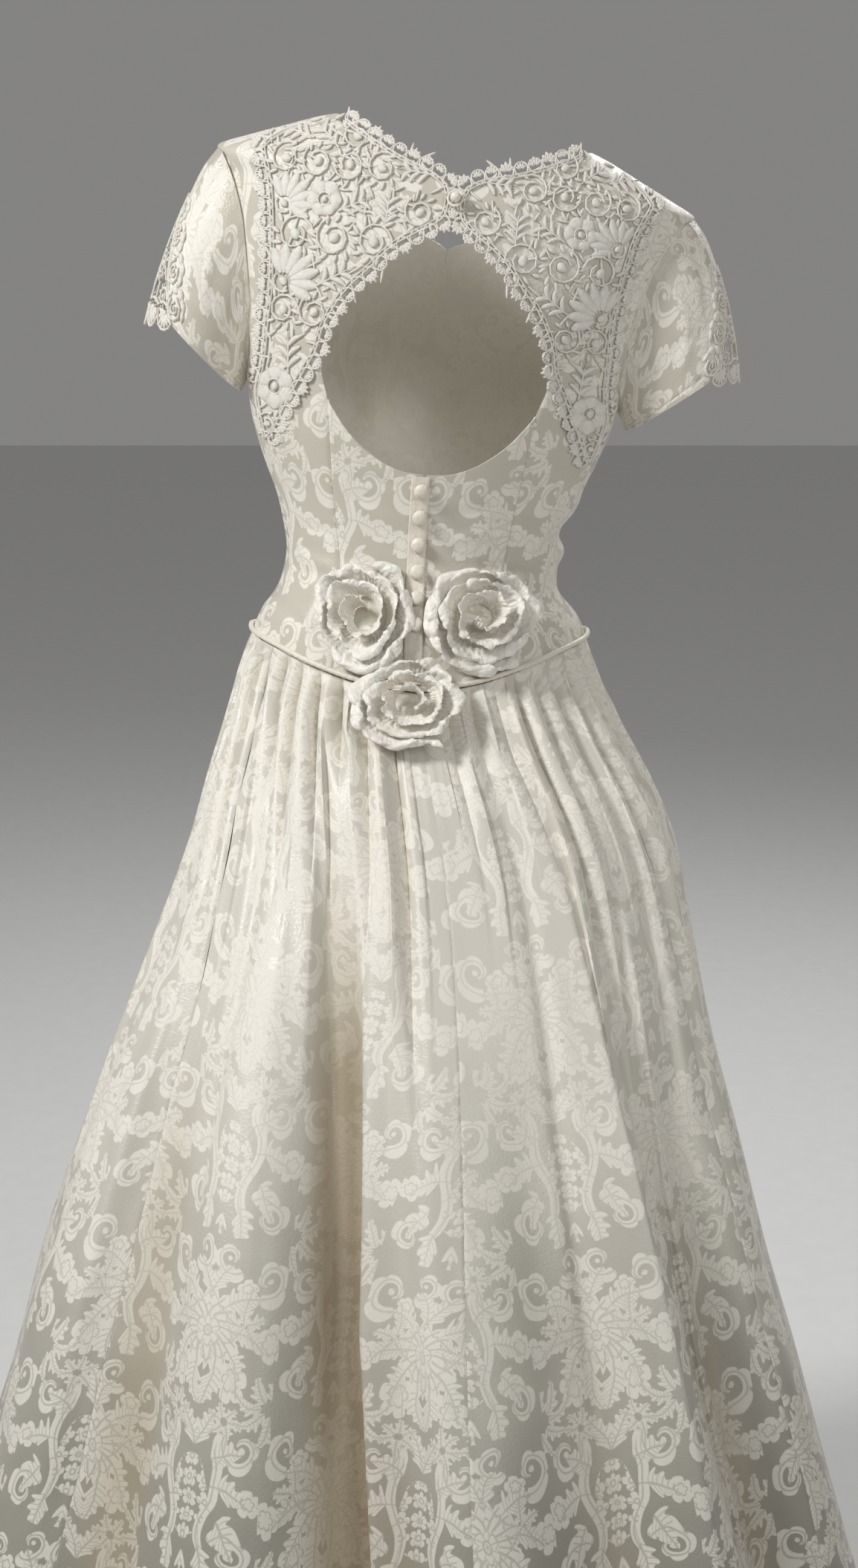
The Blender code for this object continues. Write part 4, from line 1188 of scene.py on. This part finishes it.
def notch(down):
    """Half angle of the notch on the outer arm at a way down the sleeve."""
    return NOTCH_HALF * np.clip((down - NOTCH_FROM) / (1 - NOTCH_FROM), 0, None)


SLEEVE_AT = {name: sleeve_surface(arm) for name, arm in SLEEVES.items()}

# %% Sleeves
for name, arm in SLEEVES.items():
    down = np.concatenate([np.linspace(0, 1, 50), [0.012, SLEEVE_HEM, 0.945, 0.985]])
    down = np.sort(down)[:, None]
    turn = np.linspace(-180, 180, 145)[None, :] * (1 - notch(down) / 180)
    down = np.repeat(down, turn.shape[1], axis=1)
    outer = SLEEVE_AT[name](turn % 360, down)
    middle = outer.mean(axis=1, keepdims=True)
    round_arm = np.where(turn < 0, turn + 180, turn - 180) * ARM_MM_PER_DEGREE
    rise = creased(SLEEVE_CREASES, round_arm * arm["side"], -down * ARM_MM_LONG)
    rise = rise - 0.7 * bell((down - SLEEVE_HEM) * ARM_MM_LONG / 1.3)
    rise = rise * np.clip(down / SLEEVE_CALM, 0, 1)
    outer = outer + outward(outer, middle) * rise[..., None]
    uv = np.stack([turn * ARM_MM_PER_DEGREE + 40.0, -down * ARM_MM_LONG + 120.0], axis=-1)
    made = cloth_wall("sleeve_" + name, outer, middle, uv, CLOTH, BODICE_CLOTH, "brocade")
    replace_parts(made, "sleeve_" + name)

# %% [markdown]
# ## The lace
# Guipure is embroidered so thickly that its ground can be washed away: petals, scrolls and
# cords stay, held by small bars. An image of lace would lie flat, so every stitch here is a
# stroke, which is a path with a width and a height at each step, and a rounded section. All
# strokes of a piece are worked out together as one array, then bent over the body.

# %% Strokes
STEPS = 7
ACROSS = np.array([-1.0, -0.72, -0.25, 0.25, 0.72, 1.0])
RISING = np.array([0.0, 0.72, 1.0, 1.0, 0.72, 0.0])
EVEN = np.linspace(0, 1, STEPS)
CORD_HALF, CORD_RISE = 1.0, 1.5


def line(x0, h0, x1, h1, half=CORD_HALF, rise=CORD_RISE, bow=0.0, belly=False):
    """A stroke from one point to another, bowed, of even width or with a belly."""
    away = np.array([x1 - x0, h1 - h0])
    aside = np.array([-away[1], away[0]]) / max(np.hypot(*away), 1e-6)
    path = np.array([x0, h0]) + EVEN[:, None] * away
    path = path + (4 * EVEN * (1 - EVEN))[:, None] * aside * bow
    shape = np.sin(np.pi * (0.06 + 0.88 * EVEN)) ** 0.7 if belly else np.ones(STEPS)
    return path, half * shape, rise * (0.55 + 0.45 * shape)


def arc(x, h, radius, start, end, half=CORD_HALF, rise=CORD_RISE, grow=0.0):
    """A stroke round a centre, from one angle to another, whose radius may grow."""
    angle = np.radians(start + (end - start) * EVEN)
    far = radius * (1 + grow * EVEN)
    path = np.stack([x + far * np.cos(angle), h + far * np.sin(angle)], axis=-1)
    return path, np.full(STEPS, half), np.full(STEPS, rise)


def ring(x, h, radius, half=0.8, rise=1.4):
    """A circle of two half turns."""
    return [arc(x, h, radius, 0, 180, half, rise), arc(x, h, radius, 180, 360, half, rise)]


def ball(x, h, size):
    """One bellied stroke as wide as it is long."""
    return [line(x - size, h, x + size, h, size, 2.0, belly=True)]


def fan(x, h, inner, outer, start, end, count, fat=0.5):
    """Petals that spread from a centre: bellied strokes at even angles, middle ones longest."""
    made = []
    for k, angle in enumerate(np.radians(np.linspace(start, end, count))):
        long = outer * (1 - 0.18 * abs(2 * k / max(count - 1, 1) - 1))
        wide = fat * outer * np.pi * abs(end - start) / 360 / count
        made.append(line(x + inner * np.cos(angle), h + inner * np.sin(angle),
                         x + long * np.cos(angle), h + long * np.sin(angle), wide, 1.5,
                         belly=True))
    return made


# %% Motifs of the lace
def blossom(size):
    """Six broad petals round a ring and a ball."""
    return (fan(0, 0, size * 0.30, size, 0, 300, 6, 1.15) + ring(0, 0, size * 0.34)
            + ball(0, 0, size * 0.17))


def plume(size):
    """A scroll: a winding cord round a ball, with ribs that stand on its outer side."""
    made = [arc(0, 0, size * 0.34, 60, 300, 0.9, 1.6, 0.5),
            arc(0, 0, size * 0.52, 300, 470, 1.0, 1.6, 0.35)]
    made += ball(0, 0, size * 0.2)
    for k, angle in enumerate(np.radians(np.linspace(95, 395, 10))):
        near, far = size * (0.52 + 0.012 * k), size * (0.80 + 0.022 * k)
        made.append(line(near * np.cos(angle), near * np.sin(angle), far * np.cos(angle + 0.22),
                         far * np.sin(angle + 0.22), size * 0.085, 1.4, belly=True))
    return made


def palm(size):
    """A palmette: seven petals from a ball, over a crescent."""
    return (fan(0, -size * 0.5, size * 0.3, size * 1.45, 20, 160, 7, 0.9)
            + [arc(0, -size * 0.5, size * 0.36, 190, 350)] + ball(0, -size * 0.5, size * 0.16))



def spray(size):
    """A stem with three pairs of leaves and one at its tip."""
    made = [line(0, -size, 0, size * 0.5, 0.8, 1.3)]
    made += fan(0, size * 0.2, 0, size * 0.9, 90, 90, 1, 1.2)
    for k in (-0.75, -0.3, 0.15):
        for hand in (-1, 1):
            made.append(line(0, k * size, hand * size * 0.55, (k + 0.45) * size, size * 0.13, 1.4,
                             bow=hand * size * 0.08, belly=True))
    return made


def placed(strokes, x, h, turn):
    """Strokes turned about their own middle and moved to a place."""
    cosine, sine = np.cos(np.radians(turn)), np.sin(np.radians(turn))
    matrix = np.array([[cosine, sine], [-sine, cosine]])
    return [(path @ matrix + (x, h), half, rise) for path, half, rise in strokes]

# %% From strokes to one mesh
def stroke_mesh(name, strokes, over, lift, material, slot):
    """All strokes as closed rounded bodies: a ring of six points at each step, two flat ends.
    Each point keeps a number that is 1 at the foot of its cord and 0 on its crown."""
    path, half, rise = (np.array(part) for part in zip(*strokes))
    ahead = np.gradient(path, axis=1)
    ahead /= np.maximum(np.linalg.norm(ahead, axis=-1, keepdims=True), 1e-6)
    aside = np.stack([-ahead[..., 1], ahead[..., 0]], axis=-1)
    flat = path[:, :, None] + aside[:, :, None] * (half[..., None] * ACROSS)[..., None]
    points = over(flat[..., 0], flat[..., 1], lift + rise[..., None] * RISING)
    k, n = np.arange(6), (np.arange(6) + 1) % 6
    one = [np.stack([s * 6 + k, s * 6 + n, (s + 1) * 6 + n, (s + 1) * 6 + k], -1)
           for s in range(STEPS - 1)]
    end = (STEPS - 1) * 6
    ends = np.array([(3, 2, 1, 0), (5, 4, 3, 0), (end, end + 1, end + 2, end + 3),
                     (end, end + 3, end + 4, end + 5)])
    one = np.concatenate(one + [ends])
    first = points[0].reshape(-1, 3)
    a, b, c, d = ((first - first.mean(0))[one[:, corner]] for corner in range(4))
    volume = (a * (np.cross(b, c) + np.cross(c, d))).sum()
    if volume < 0:
        one = one[:, ::-1]
    faces = (one[None] + (np.arange(len(strokes)) * STEPS * 6)[:, None, None]).reshape(-1, 4)
    print(name, "has", len(strokes), "strokes")
    foot = np.broadcast_to(1.0 - RISING, points.shape[:3]).reshape(-1)
    return put_mesh(name, points.reshape(-1, 3), faces, None, material, slot, 70.0, foot=foot)


# %% [markdown]
# The yoke lies over each shoulder and down beside the keyhole. Its two edges are a table of
# rows. Motifs stand in rows across it, of a kind that changes along the lace, and both edges
# end in fans of petals over a double cord, so that the lace reaches past the cloth. Strokes
# that would pass the ridge of the shoulder are left off.

# %% Yoke lace
YOKE_ROWS = np.array([
    # inner x, inner h, outer x, outer h
    (130, 84, 138, 84),
    (122, 104, 145, 106),
    (112, 126, 149, 128),
    (102, 146, 145, 150),
    (93, 164, 144, 168),
    (89, 182, 144, 183),
    (81, 200, 143, 197),
    (71, 215, 143, 211),
    (58, 229, 144, 226),
    (46, 244, 145, 240),
    (31, 256, 147, 254),
    (15, 266, 149, 266),
    (4, 276, 151, 277),
    (1.5, 289, 154, 288),
    (5, 304, 158, 299),
    (20, 314, 163, 310),
    (42, 321, 160, 318),
    (64, 330, 152, 326),
    (84, 340, 142, 333),
    (98, 348, 128, 340),
], float)
MOTIFS = (plume, spray, plume, blossom, plume, palm, plume, spray)
ROW_APART, MOTIF_APART, FAN_APART, CORD_APART = 28.0, 31.0, 11.5, 8.0
MOTIF_LARGEST, BAR_TURNS, CORD_OVERLAP, RIDGE_SHARE = 18.0, (25, 155, 205, 335), 0.12, 0.975


def yoke_at(row, share):
    """Body x and height at a row number of the lace and a share of the way across it."""
    row = np.atleast_1d(np.asarray(row, float))
    edges = between(np.arange(len(YOKE_ROWS), dtype=float), YOKE_ROWS, row)
    x = edges[:, 0] + (edges[:, 2] - edges[:, 0]) * share
    h = edges[:, 1] + (edges[:, 3] - edges[:, 1]) * share
    return x, h


def along_yoke(share, apart):
    """Row numbers that lie evenly along one line of the lace, with the line's own angle."""
    rows = np.linspace(0.15, len(YOKE_ROWS) - 1.15, 400)
    x, h = yoke_at(rows, share)
    far = np.concatenate([[0], np.cumsum(np.hypot(np.diff(x), np.diff(h)))])
    count = max(int(far[-1] / apart), 2)
    wanted = np.interp((np.arange(count) + 0.5) * far[-1] / count, far, rows)
    ahead = np.degrees(np.arctan2(np.gradient(h), np.gradient(x)))
    return wanted, np.interp(wanted, rows, np.unwrap(ahead, period=360))


def yoke_motifs():
    """Motifs in rows across the lace. A sine of the row and the place picks the kind and its
    turn, and four leaf-shaped bars tie each motif to its neighbours."""
    made = []
    for number, (row, angle) in enumerate(zip(*along_yoke(0.5, ROW_APART))):
        (x0,), (h0,) = yoke_at(row, 0.0)
        (x1,), (h1,) = yoke_at(row, 1.0)
        wide = np.hypot(x1 - x0, h1 - h0)
        count = max(int(round((wide - 8) / MOTIF_APART)), 1)
        for k in range(count):
            (x,), (h,) = yoke_at(row, (k + 0.5) / count * 0.86 + 0.07)
            kind = MOTIFS[int(abs(np.sin(12.9 * number + 78.2 * k + 0.4)) * 997) % len(MOTIFS)]
            turn = angle - 90 + 70 * np.sin(1.7 * number + 2.3 * k)
            size = min(MOTIF_LARGEST, 0.52 * wide / count) * (1.22 if kind in (plume, palm) else 1.0)
            made += placed(kind(size), x, h, turn)
            for spin in BAR_TURNS:
                near, far = np.radians(spin + turn), np.radians(spin + turn) + 0.25
                made.append(line(x + 0.9 * size * np.cos(near), h + 0.9 * size * np.sin(near),
                                 x + 1.45 * size * np.cos(far), h + 1.45 * size * np.sin(far),
                                 1.15, 1.2, belly=True))
    return made


def yoke_edges():
    """Both edges: a fan and two hooked cords at each step, and two cords set in from it."""
    made = []
    for share, hand in ((0.0, 1), (1.0, -1)):
        for number, (row, angle) in enumerate(zip(*along_yoke(share, FAN_APART))):
            (x,), (h,) = yoke_at(row, share)
            out = angle + 90 * hand
            long = 7.0 + 1.4 * np.sin(2.1 * number)
            made += fan(x, h, 0.6, long, out - 62, out + 62, 5, 0.95)
            made += [arc(x, h, FAN_APART * 0.48, out - spread, out - spread / 35, 0.85, 1.5)
                     for spread in (175, -175)]
        rows, angles = along_yoke(share, CORD_APART)
        away = np.radians(angles - 90 * hand)
        for inset, half in ((3.6, 0.9), (6.0, 0.7)):
            x, h = yoke_at(rows, share)
            path = np.stack([x + inset * np.cos(away), h + inset * np.sin(away)], axis=-1)
            past = CORD_OVERLAP * np.diff(path, axis=0)
            made += [line(*start, *end, half) for start, end in zip(path[:-1] - past, path[1:] + past)]
    return made


def on_back(stroke):
    """True where a stroke keeps to the back half, short of the ridge of the shoulder."""
    x, h = stroke[0].T
    return (np.abs(x) < RIDGE_SHARE * between(TORSO_H, TORSO_HALF, h)).all()


YOKE = [stroke for stroke in yoke_motifs() + yoke_edges() if on_back(stroke)]
for side, word in ((-1, "left"), (1, "right")):
    name = "yoke_lace_" + word
    made = stroke_mesh(name, YOKE, lambda x, h, out: on_torso(side * x, h, out), 0.5,
                       LACE_CORD, "lace")
    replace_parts(made, name)

# %% [markdown]
# The sleeve lace fills the notch, so its gaps are really open. A stem runs down from the
# point to a palmette, two scrolls and a spray stand on each side of it, and six fans pass the
# hem. On the side towards the back, swirls run on over the cloth of the sleeve.

# %% Sleeve lace
INSERT_TOP, INSERT_LOW, INSERT_HALF, INSERT_CORD_APART = 47.0, 113.0, 60.0, 3.4
INSERT_MOTIFS = (
    # kind, size, x, h, turn
    (plume, 12.5, 20, -92, 20),
    (plume, 9.0, 41, -106, -60),
    (spray, 8.0, 9, -74, -24),
)
SWIRLS = (
    # mm down the sleeve, reach, turn
    (56, 4.5, 60),
    (70, 6.5, 20),
    (87, 7.5, 70),
    (104, 7.5, 110),
)


def insert_edge(q):
    """Body half width of the notch at a distance down the sleeve."""
    return INSERT_HALF * (q - INSERT_TOP) / (INSERT_LOW - INSERT_TOP)


def insert_side(hand):
    """One side of the insert: a double cord with barbs along its edge, and its motifs."""
    made = []
    edge = [(hand * insert_edge(q) * 0.98, -q) for q in np.linspace(INSERT_TOP, INSERT_LOW + 2, 7)]
    inset = hand * INSERT_CORD_APART
    for (x0, h0), (x1, h1) in zip(edge[:-1], edge[1:]):
        made += [line(x0, h0, x1, h1, 1.2, 1.7), line(x0 - inset, h0, x1 - inset, h1, 0.9, 1.5),
                 line(x1, h1, x1 - hand * 7.5, h1 + 1.5, 1.3, 1.4, belly=True)]
    for kind, size, x, h, turn in INSERT_MOTIFS:
        made += placed(kind(size), hand * x, h, turn * hand)
    return made + [line(0, -80, hand * 12, -84, 0.9, 1.4, 2 * hand),
                   line(hand * 30, -92, hand * 38, -97, 0.9)]


def insert_strokes(back):
    """Cords of one insert. Its motifs run on over the cloth on the side towards the back."""
    made = [line(0, -INSERT_TOP, 0, -78, 1.2, 1.6), line(0, -78, 0, -96, 1.0, 1.6)]
    made += insert_side(-1) + insert_side(1) + placed(palm(10.5), 0, -104, 180)
    for x in np.linspace(-50, 50, 6):
        low = -INSERT_LOW - 9 + 0.0026 * x * x
        made += fan(x, low + 3, 1.0, 10.5, 190, 350, 7, 0.95) + ball(x, low + 3, 2.0)
        made += [arc(x, low + 3, 5.6, 182, 358, 0.9), arc(x, low + 3, 10.6, 186, 354, 0.9),
                 line(x - 8, low + 7, x + 8, low + 7, 1.0, 1.5, 1.0),
                 line(x, low + 6, x * 0.9, low + 18, 1.0, 1.3)]
    for q, reach, turn in SWIRLS:
        swirl = [arc(0, 0, reach, 20, 320, 1.3, 2.0), arc(0, 0, 0.5 * reach, 60, 360, 1.0, 1.8)]
        swirl += ball(0, 0, 1.6) + fan(0, 0, reach + 1.5, reach + 8.0, -40, 100, 5, 1.35)
        swirl = placed(swirl, back * (insert_edge(q) + 7), -q, 90 - back * (90 - turn))
        made += [(path, half, rise + 0.4) for path, half, rise in swirl]
    return made


for name, arm in SLEEVES.items():
    surface, side = SLEEVE_AT[name], arm["side"]

    def over(x, h, out):
        """Millimetres round the arm and down it to a turn and a way, then moved out."""
        turn, down = 180 - side * x / ARM_MM_PER_DEGREE, -h / ARM_MM_LONG
        normal = normals(surface, turn, down, 1.0, 0.01) * -side
        return surface(turn, down) + normal * out[..., None]

    made = stroke_mesh("sleeve_lace_" + name, insert_strokes(side), over, -0.4, LACE_CORD, "lace")
    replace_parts(made, "sleeve_lace_" + name)

# %% [markdown]
# ## The roses
# A cloth rose is a strip, gathered along one edge and wound round itself. Turning a profile
# would give a cup; winding a strip gives the coil that the eye follows. The strip's foot is
# gathered into small pleats, and its upper edge flares and ruffles more with every turn.

# %% Roses
ROSES = {
    # middle in x and h, half width and half height, lift, tilt, turns, first angle, seed
    "rose_left": (-46, -42, 41, 46, 1.1, 0.0, 3.1, 40, 1),
    "rose_right": (50, -42, 47, 46, 1.1, 0.0, 3.3, 200, 4),
    "rose_low": (-6, -107, 44, 38, -3.6, 0.5, 3.0, 300, 7),
}
ROSE_HEART, ROSE_FULL, ROSE_CLOTH_THICK, ROSE_DEEP = 5.0, 34.0, 0.7, 24.0
ROSE_MAP = (900.0, 24.0)


def soft_waves(angle, level, seed):
    """Uneven ruffle: five cosines of unlike counts, added, stronger towards the edge."""
    total = 0.0
    for k, count in enumerate((2, 3, 5, 8, 13)):
        total = total + np.cos(count * angle + seed * (k + 1.7) + 2.2 * level * k) / (1 + 0.6 * k)
    return total


def rose(name, at_x, at_h, wide, high, lift, tilt, turns, start, seed):
    """Wound strip: the share of its length gives the angle and the radius, which grows with
    every turn, and the level goes from its foot to its edge. The edge flares, ruffles, folds
    and curls over, and the foot is pleated. Folds are sines whose own angle wavers."""
    share = np.linspace(0, 1, 480)[None, :]
    level = np.concatenate([np.linspace(0, 0.9, 15), [0.95, 0.985, 1.0]])[:, None]
    angle = np.radians(start) + 2 * np.pi * turns * share
    ruffle = soft_waves(angle, level, seed)
    crumple = soft_waves(2.3 * angle + 1.9, 2.6 * level, seed + 3)
    radius = (ROSE_HEART + 0.66 * (ROSE_FULL - ROSE_HEART) * share) / ROSE_FULL
    flare = 0.31 * level ** 2.2 * share ** 0.6 + 0.035 * ruffle * level ** 1.3 * (0.15 + share)
    belly = 0.06 * np.sin(np.pi * level) * (0.4 + share)
    pleat = 0.016 * np.cos(38 * angle + 3 * np.sin(5 * angle)) * (1.1 - level) * (0.3 + share)
    tuck = np.sin(6.1 * angle + 2.6 * np.sin(1.9 * angle + seed) + 3.0 * level)
    fold = np.abs(np.sin(2.2 * angle + 1.1 * np.sin(1.3 * angle) - 1.8 * level)) ** 0.7 - 0.6
    crease = np.abs(np.sin(5.5 * angle + 1.9 * np.sin(3.1 * angle) + 2.4 * level)) ** 0.5 - 0.75
    crush = (0.016 * tuck + 0.13 * fold) * level ** 0.8 * (0.25 + share) + 0.03 * crease * level
    reach = np.maximum(radius + flare + belly + pleat + crush + 0.014 * crumple * level, 0.02)
    curl = 6.0 * np.clip((level - 0.62) / 0.38, 0, 1) ** 2 * (0.3 + share)
    swell = (1.6 * ruffle - 4.5 * fold + 3.0 * crease) * (0.3 + share)
    rise = level * (ROSE_DEEP - 10 * share + swell) - curl
    fray = 0.45 * np.sin(331 * angle) * np.sin(57 * angle) * np.clip((level - 0.94) / 0.06, 0, 1)
    p, q = wide * reach * np.cos(angle), high * reach * np.sin(angle)
    out = lift + rise + fray + tilt * (high - q)
    outer = on_torso(at_x + p, at_h + q, out)
    core = on_torso(np.full(out.shape, float(at_x)), np.full(out.shape, float(at_h)), out)
    uv = np.stack(np.broadcast_arrays(share * ROSE_MAP[0], level * ROSE_MAP[1]), axis=-1)
    made = cloth_wall(name, outer, core, uv, ROSE_CLOTH_THICK, ROSE_CLOTH, "rose_cloth")
    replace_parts(made, name)


for name, row in ROSES.items():
    rose(name, *row)

# %% [markdown]
# ## The closing
# The back closes with a zip under a lip of cloth, six covered buttons on the lip, and one
# pearl with a cloth loop at the neck. Round pieces are profiles turned about the place where
# they are sewn. A covered button gets shallow pleats where its cloth is drawn under.

# %% Buttons and pearl
BUTTON_HEIGHTS = (62, 40, 17, -6, -27, -47)
BUTTON_X, BUTTON_R, BUTTON_RISE, BUTTON_OUT = -3.0, 6.3, 5.0, 2.6
PEARL_R, PEARL_AT, PEARL_OUT = 4.3, (0.0, 291.0), 8.7


def belts(rows, sides, closed=False):
    """Faces of a grid that closes round its sides, and round its rows too where it is closed."""
    i, k = np.arange(rows if closed else rows - 1)[:, None], np.arange(sides)[None, :]
    j, n = (i + 1) % rows, (k + 1) % sides
    corners = i * sides + k, i * sides + n, j * sides + n, j * sides + k
    return np.stack(np.broadcast_arrays(*corners), -1).reshape(-1, 4)


def turned(name, rings, at, material, sides=40, pleats=0.0):
    """Profile of radius and height turned about its place on the body, with closed poles."""
    at_x, at_h, at_out = (np.float64(v) for v in at)
    turn = turn_at(at_x, at_h)
    up = normals(torso, turn, at_h, 0.5, 0.5)
    level = torso(turn, at_h) + up * at_out
    right = np.cross([0, 0, 1.0], up)
    right /= np.linalg.norm(right)
    over = np.cross(up, right)
    angle = np.linspace(0, 2 * np.pi, sides, endpoint=False)
    rings = np.array(rings, float)
    swell = np.sin(np.linspace(0, np.pi, len(rings)))[:, None]
    spread = rings[:, 0:1] * (1 + pleats * np.cos(13 * angle)[None, :] * swell)
    ring = (spread * np.cos(angle))[..., None] * right + (spread * np.sin(angle))[..., None] * over
    points = (level + ring + up * rings[:, 1][:, None, None])[1:-1].reshape(-1, 3)
    poles = np.array([level + up * rings[0, 1], level + up * rings[-1, 1]])
    count = len(points)
    k = np.arange(sides)
    n = (k + 1) % sides
    faces = belts(len(rings) - 2, sides).tolist()
    faces += np.stack([np.full(sides, count), n, k], -1).tolist()
    k, n = k + count - sides, n + count - sides
    faces += np.stack([k, n, np.full(sides, count + 1)], -1).tolist()
    mesh = bpy.data.meshes.new(name)
    mesh.from_pydata((np.concatenate([points, poles]) * MM).tolist(), [], faces)
    mesh.validate()
    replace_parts(put_piece(name, mesh, material), name)


dome = np.radians(np.linspace(-20, 90, 12))[:-1]
BUTTON_RINGS = [(0, 0), (BUTTON_R * 0.8, 0)]
BUTTON_RINGS += [(BUTTON_R * np.cos(a) ** 0.8, BUTTON_RISE * (0.25 + 0.75 * np.sin(a)))
                 for a in dome]
BUTTON_RINGS += [(0, BUTTON_RISE)]
for number, h in enumerate(BUTTON_HEIGHTS, 1):
    turned(f"covered_button_{number}", BUTTON_RINGS, (BUTTON_X, h, BUTTON_OUT), TRIM_CLOTH,
           pleats=0.02)
ball_angle = np.radians(np.linspace(-90, 90, 18))[1:-1]
PEARL_RINGS = [(PEARL_R * np.cos(a), PEARL_R * np.sin(a)) for a in ball_angle]
PEARL_RINGS = [(0, -PEARL_R), *PEARL_RINGS, (0, PEARL_R)]
turned("pearl_button", PEARL_RINGS, (*PEARL_AT, PEARL_OUT), PEARL)
print("covered buttons:", len(BUTTON_HEIGHTS))

# %% [markdown]
# The loop and the piping are bias strips folded round a cord. Both are a circle carried along
# a closed path. The strip twists as it is sewn, so small slanting folds run along the piping.

# %% Loop and piping
LOOP_R, LOOP_OUT, LOOP_DIP, LOOP_CORD = 5.8, 6.1, 0.6, 1.1
PIPING_R, PIPING_UP = 2.2, 1.5


def tube(name, route, radius, sides, material, slot, fold=0.0, folds=0):
    """Closed cord: a circle carried round a route, with slanting folds in its radius."""
    ahead = np.roll(route, -1, axis=0) - np.roll(route, 1, axis=0)
    ahead /= np.linalg.norm(ahead, axis=1, keepdims=True)
    away = route - route.mean(axis=0)
    away -= (away * ahead).sum(axis=1, keepdims=True) * ahead
    away /= np.linalg.norm(away, axis=1, keepdims=True)
    up = np.cross(ahead, away)
    angle = np.linspace(0, 2 * np.pi, sides, endpoint=False)[None, :]
    along = np.linspace(0, 2 * np.pi, len(route), endpoint=False)[:, None]
    thick = (radius * (1 + fold * np.sin(folds * along + angle)))[..., None]
    points = route[:, None] + thick * (np.cos(angle)[..., None] * away[:, None]
                                       + np.sin(angle)[..., None] * up[:, None])
    made = put_mesh(name, points.reshape(-1, 3), belts(len(route), sides, True), None, material,
                    slot)
    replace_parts(made, name)


around = np.linspace(0, 2 * np.pi, 60, endpoint=False)
loop = on_torso(PEARL_AT[0] + LOOP_R * np.cos(around), PEARL_AT[1] + LOOP_R * np.sin(around),
                LOOP_OUT + LOOP_DIP * np.cos(around))
tube("button_loop", loop, LOOP_CORD, 10, TRIM_CLOTH, "trim", 0.08, 30)
turn = signed(np.linspace(0, 360, 520, endpoint=False))
h = basque_edge(turn) + PIPING_UP
edge = torso(turn, h) + normals(torso, turn, h, 0.5, 0.5) * (PIPING_R + 0.5)
tube("basque_piping", edge, PIPING_R, 12, TRIM_CLOTH, "trim", 0.05, 150)
print("piping in mm:", round(float(np.linalg.norm(np.diff(edge, axis=0), axis=1).sum())))

# %% [markdown]
# The lip beside the buttons is a folded strip with one row of stitches. Under the waist the
# zip goes on between two folded edges, which the closing's seam carries down the skirt.

# %% Lip and placket
BAND_LEFT, BAND_RIGHT, BAND_OUT = -12.0, 3.0, 1.95
PLACKET_REACH, PLACKET_OUT, PLACKET_THICK = 2 / 3, 0.6, 1.2


def lip():
    """Flat strip with a row of stitches near its left edge, a waved right edge, and both
    edges rounded down."""
    h = np.linspace(basque_edge(0.0) + 6, 73.5, 120)[:, None]
    x = np.linspace(BAND_LEFT, BAND_RIGHT, 26)[None, :]
    h, x = np.broadcast_arrays(h, x)
    from_left, from_right = x - BAND_LEFT, x - BAND_RIGHT
    stitch = -0.35 * bell((from_left - 2.2) / 0.5) * (0.5 + 0.5 * np.cos(h * 2.4))
    wave = 0.25 * np.sin(h * 0.21) * bell(from_right / 4)
    edge = -0.6 * (bell(from_left / 0.7) + bell(from_right / 0.7))
    outer = on_torso(x, h, BAND_OUT + stitch + wave + edge)
    made = cloth_wall("button_band", outer, lean(0.0, 0.0, h), np.stack([x, h], axis=-1), CLOTH,
                      TRIM_CLOTH, "trim")
    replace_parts(made, "button_band")


def placket():
    """Two soft lips on either side of the seam: a double wave across, made from the skirt."""
    share = np.linspace(-1, 1, 41)
    a, b = np.meshgrid((share * PLACKET_REACH) % GATHERS, np.linspace(0.011, 0.15, 90))
    normal = -normals(skirt, a, b, 0.02, 0.002)
    lips = 1.1 * bell((np.abs(share) - 0.28) / 0.16) - 0.5 * bell(share / 0.06)
    ends = bump((b + 0.012 * share ** 2 - 0.02) / 0.126) ** 0.5
    rise = (PLACKET_OUT + PLACKET_THICK + 0.6 * lips) * ends - 0.9 * (1 - ends)
    outer = skirt(a, b) + normal * rise[..., None]
    uv = np.stack([share * 14 * np.ones_like(b), -b * 1000], axis=-1)
    made = cloth_wall("zip_placket", outer, skirt_core(0.0, b), uv, CLOTH, SKIRT_CLOTH, "trim")
    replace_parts(made, "zip_placket")


lip()
placket()

# %% [markdown]
# ## The floor
# The floor is a wide pale plane just under the hem. It isn't part of the gown, and its
# material has only a faint grain.

# %% Floor and last sizes
FLOOR_REACH, FLOOR_DROP = 16.0, 0.001
low = cad_box[0][2] - FLOOR_DROP
corners = [(x * FLOOR_REACH, y * FLOOR_REACH, low) for x, y in ((-1, -1), (1, -1), (1, 1), (-1, 1))]
floor_mesh = bpy.data.meshes.new("floor")
floor_mesh.from_pydata(corners, [], [(0, 1, 2, 3)])
floor_shader = Shader("pale_floor")
grain = floor_shader.noise(floor_shader.object_place(), 30.0, 4.0)
pale = floor_shader.mix(grain, (0.70, 0.70, 0.69), (0.76, 0.76, 0.75))
floor_mesh.materials.append(floor_shader.finish(pale, 0.75 + 0.1 * grain, grain, 0.1))
floor = show("floor", floor_mesh)
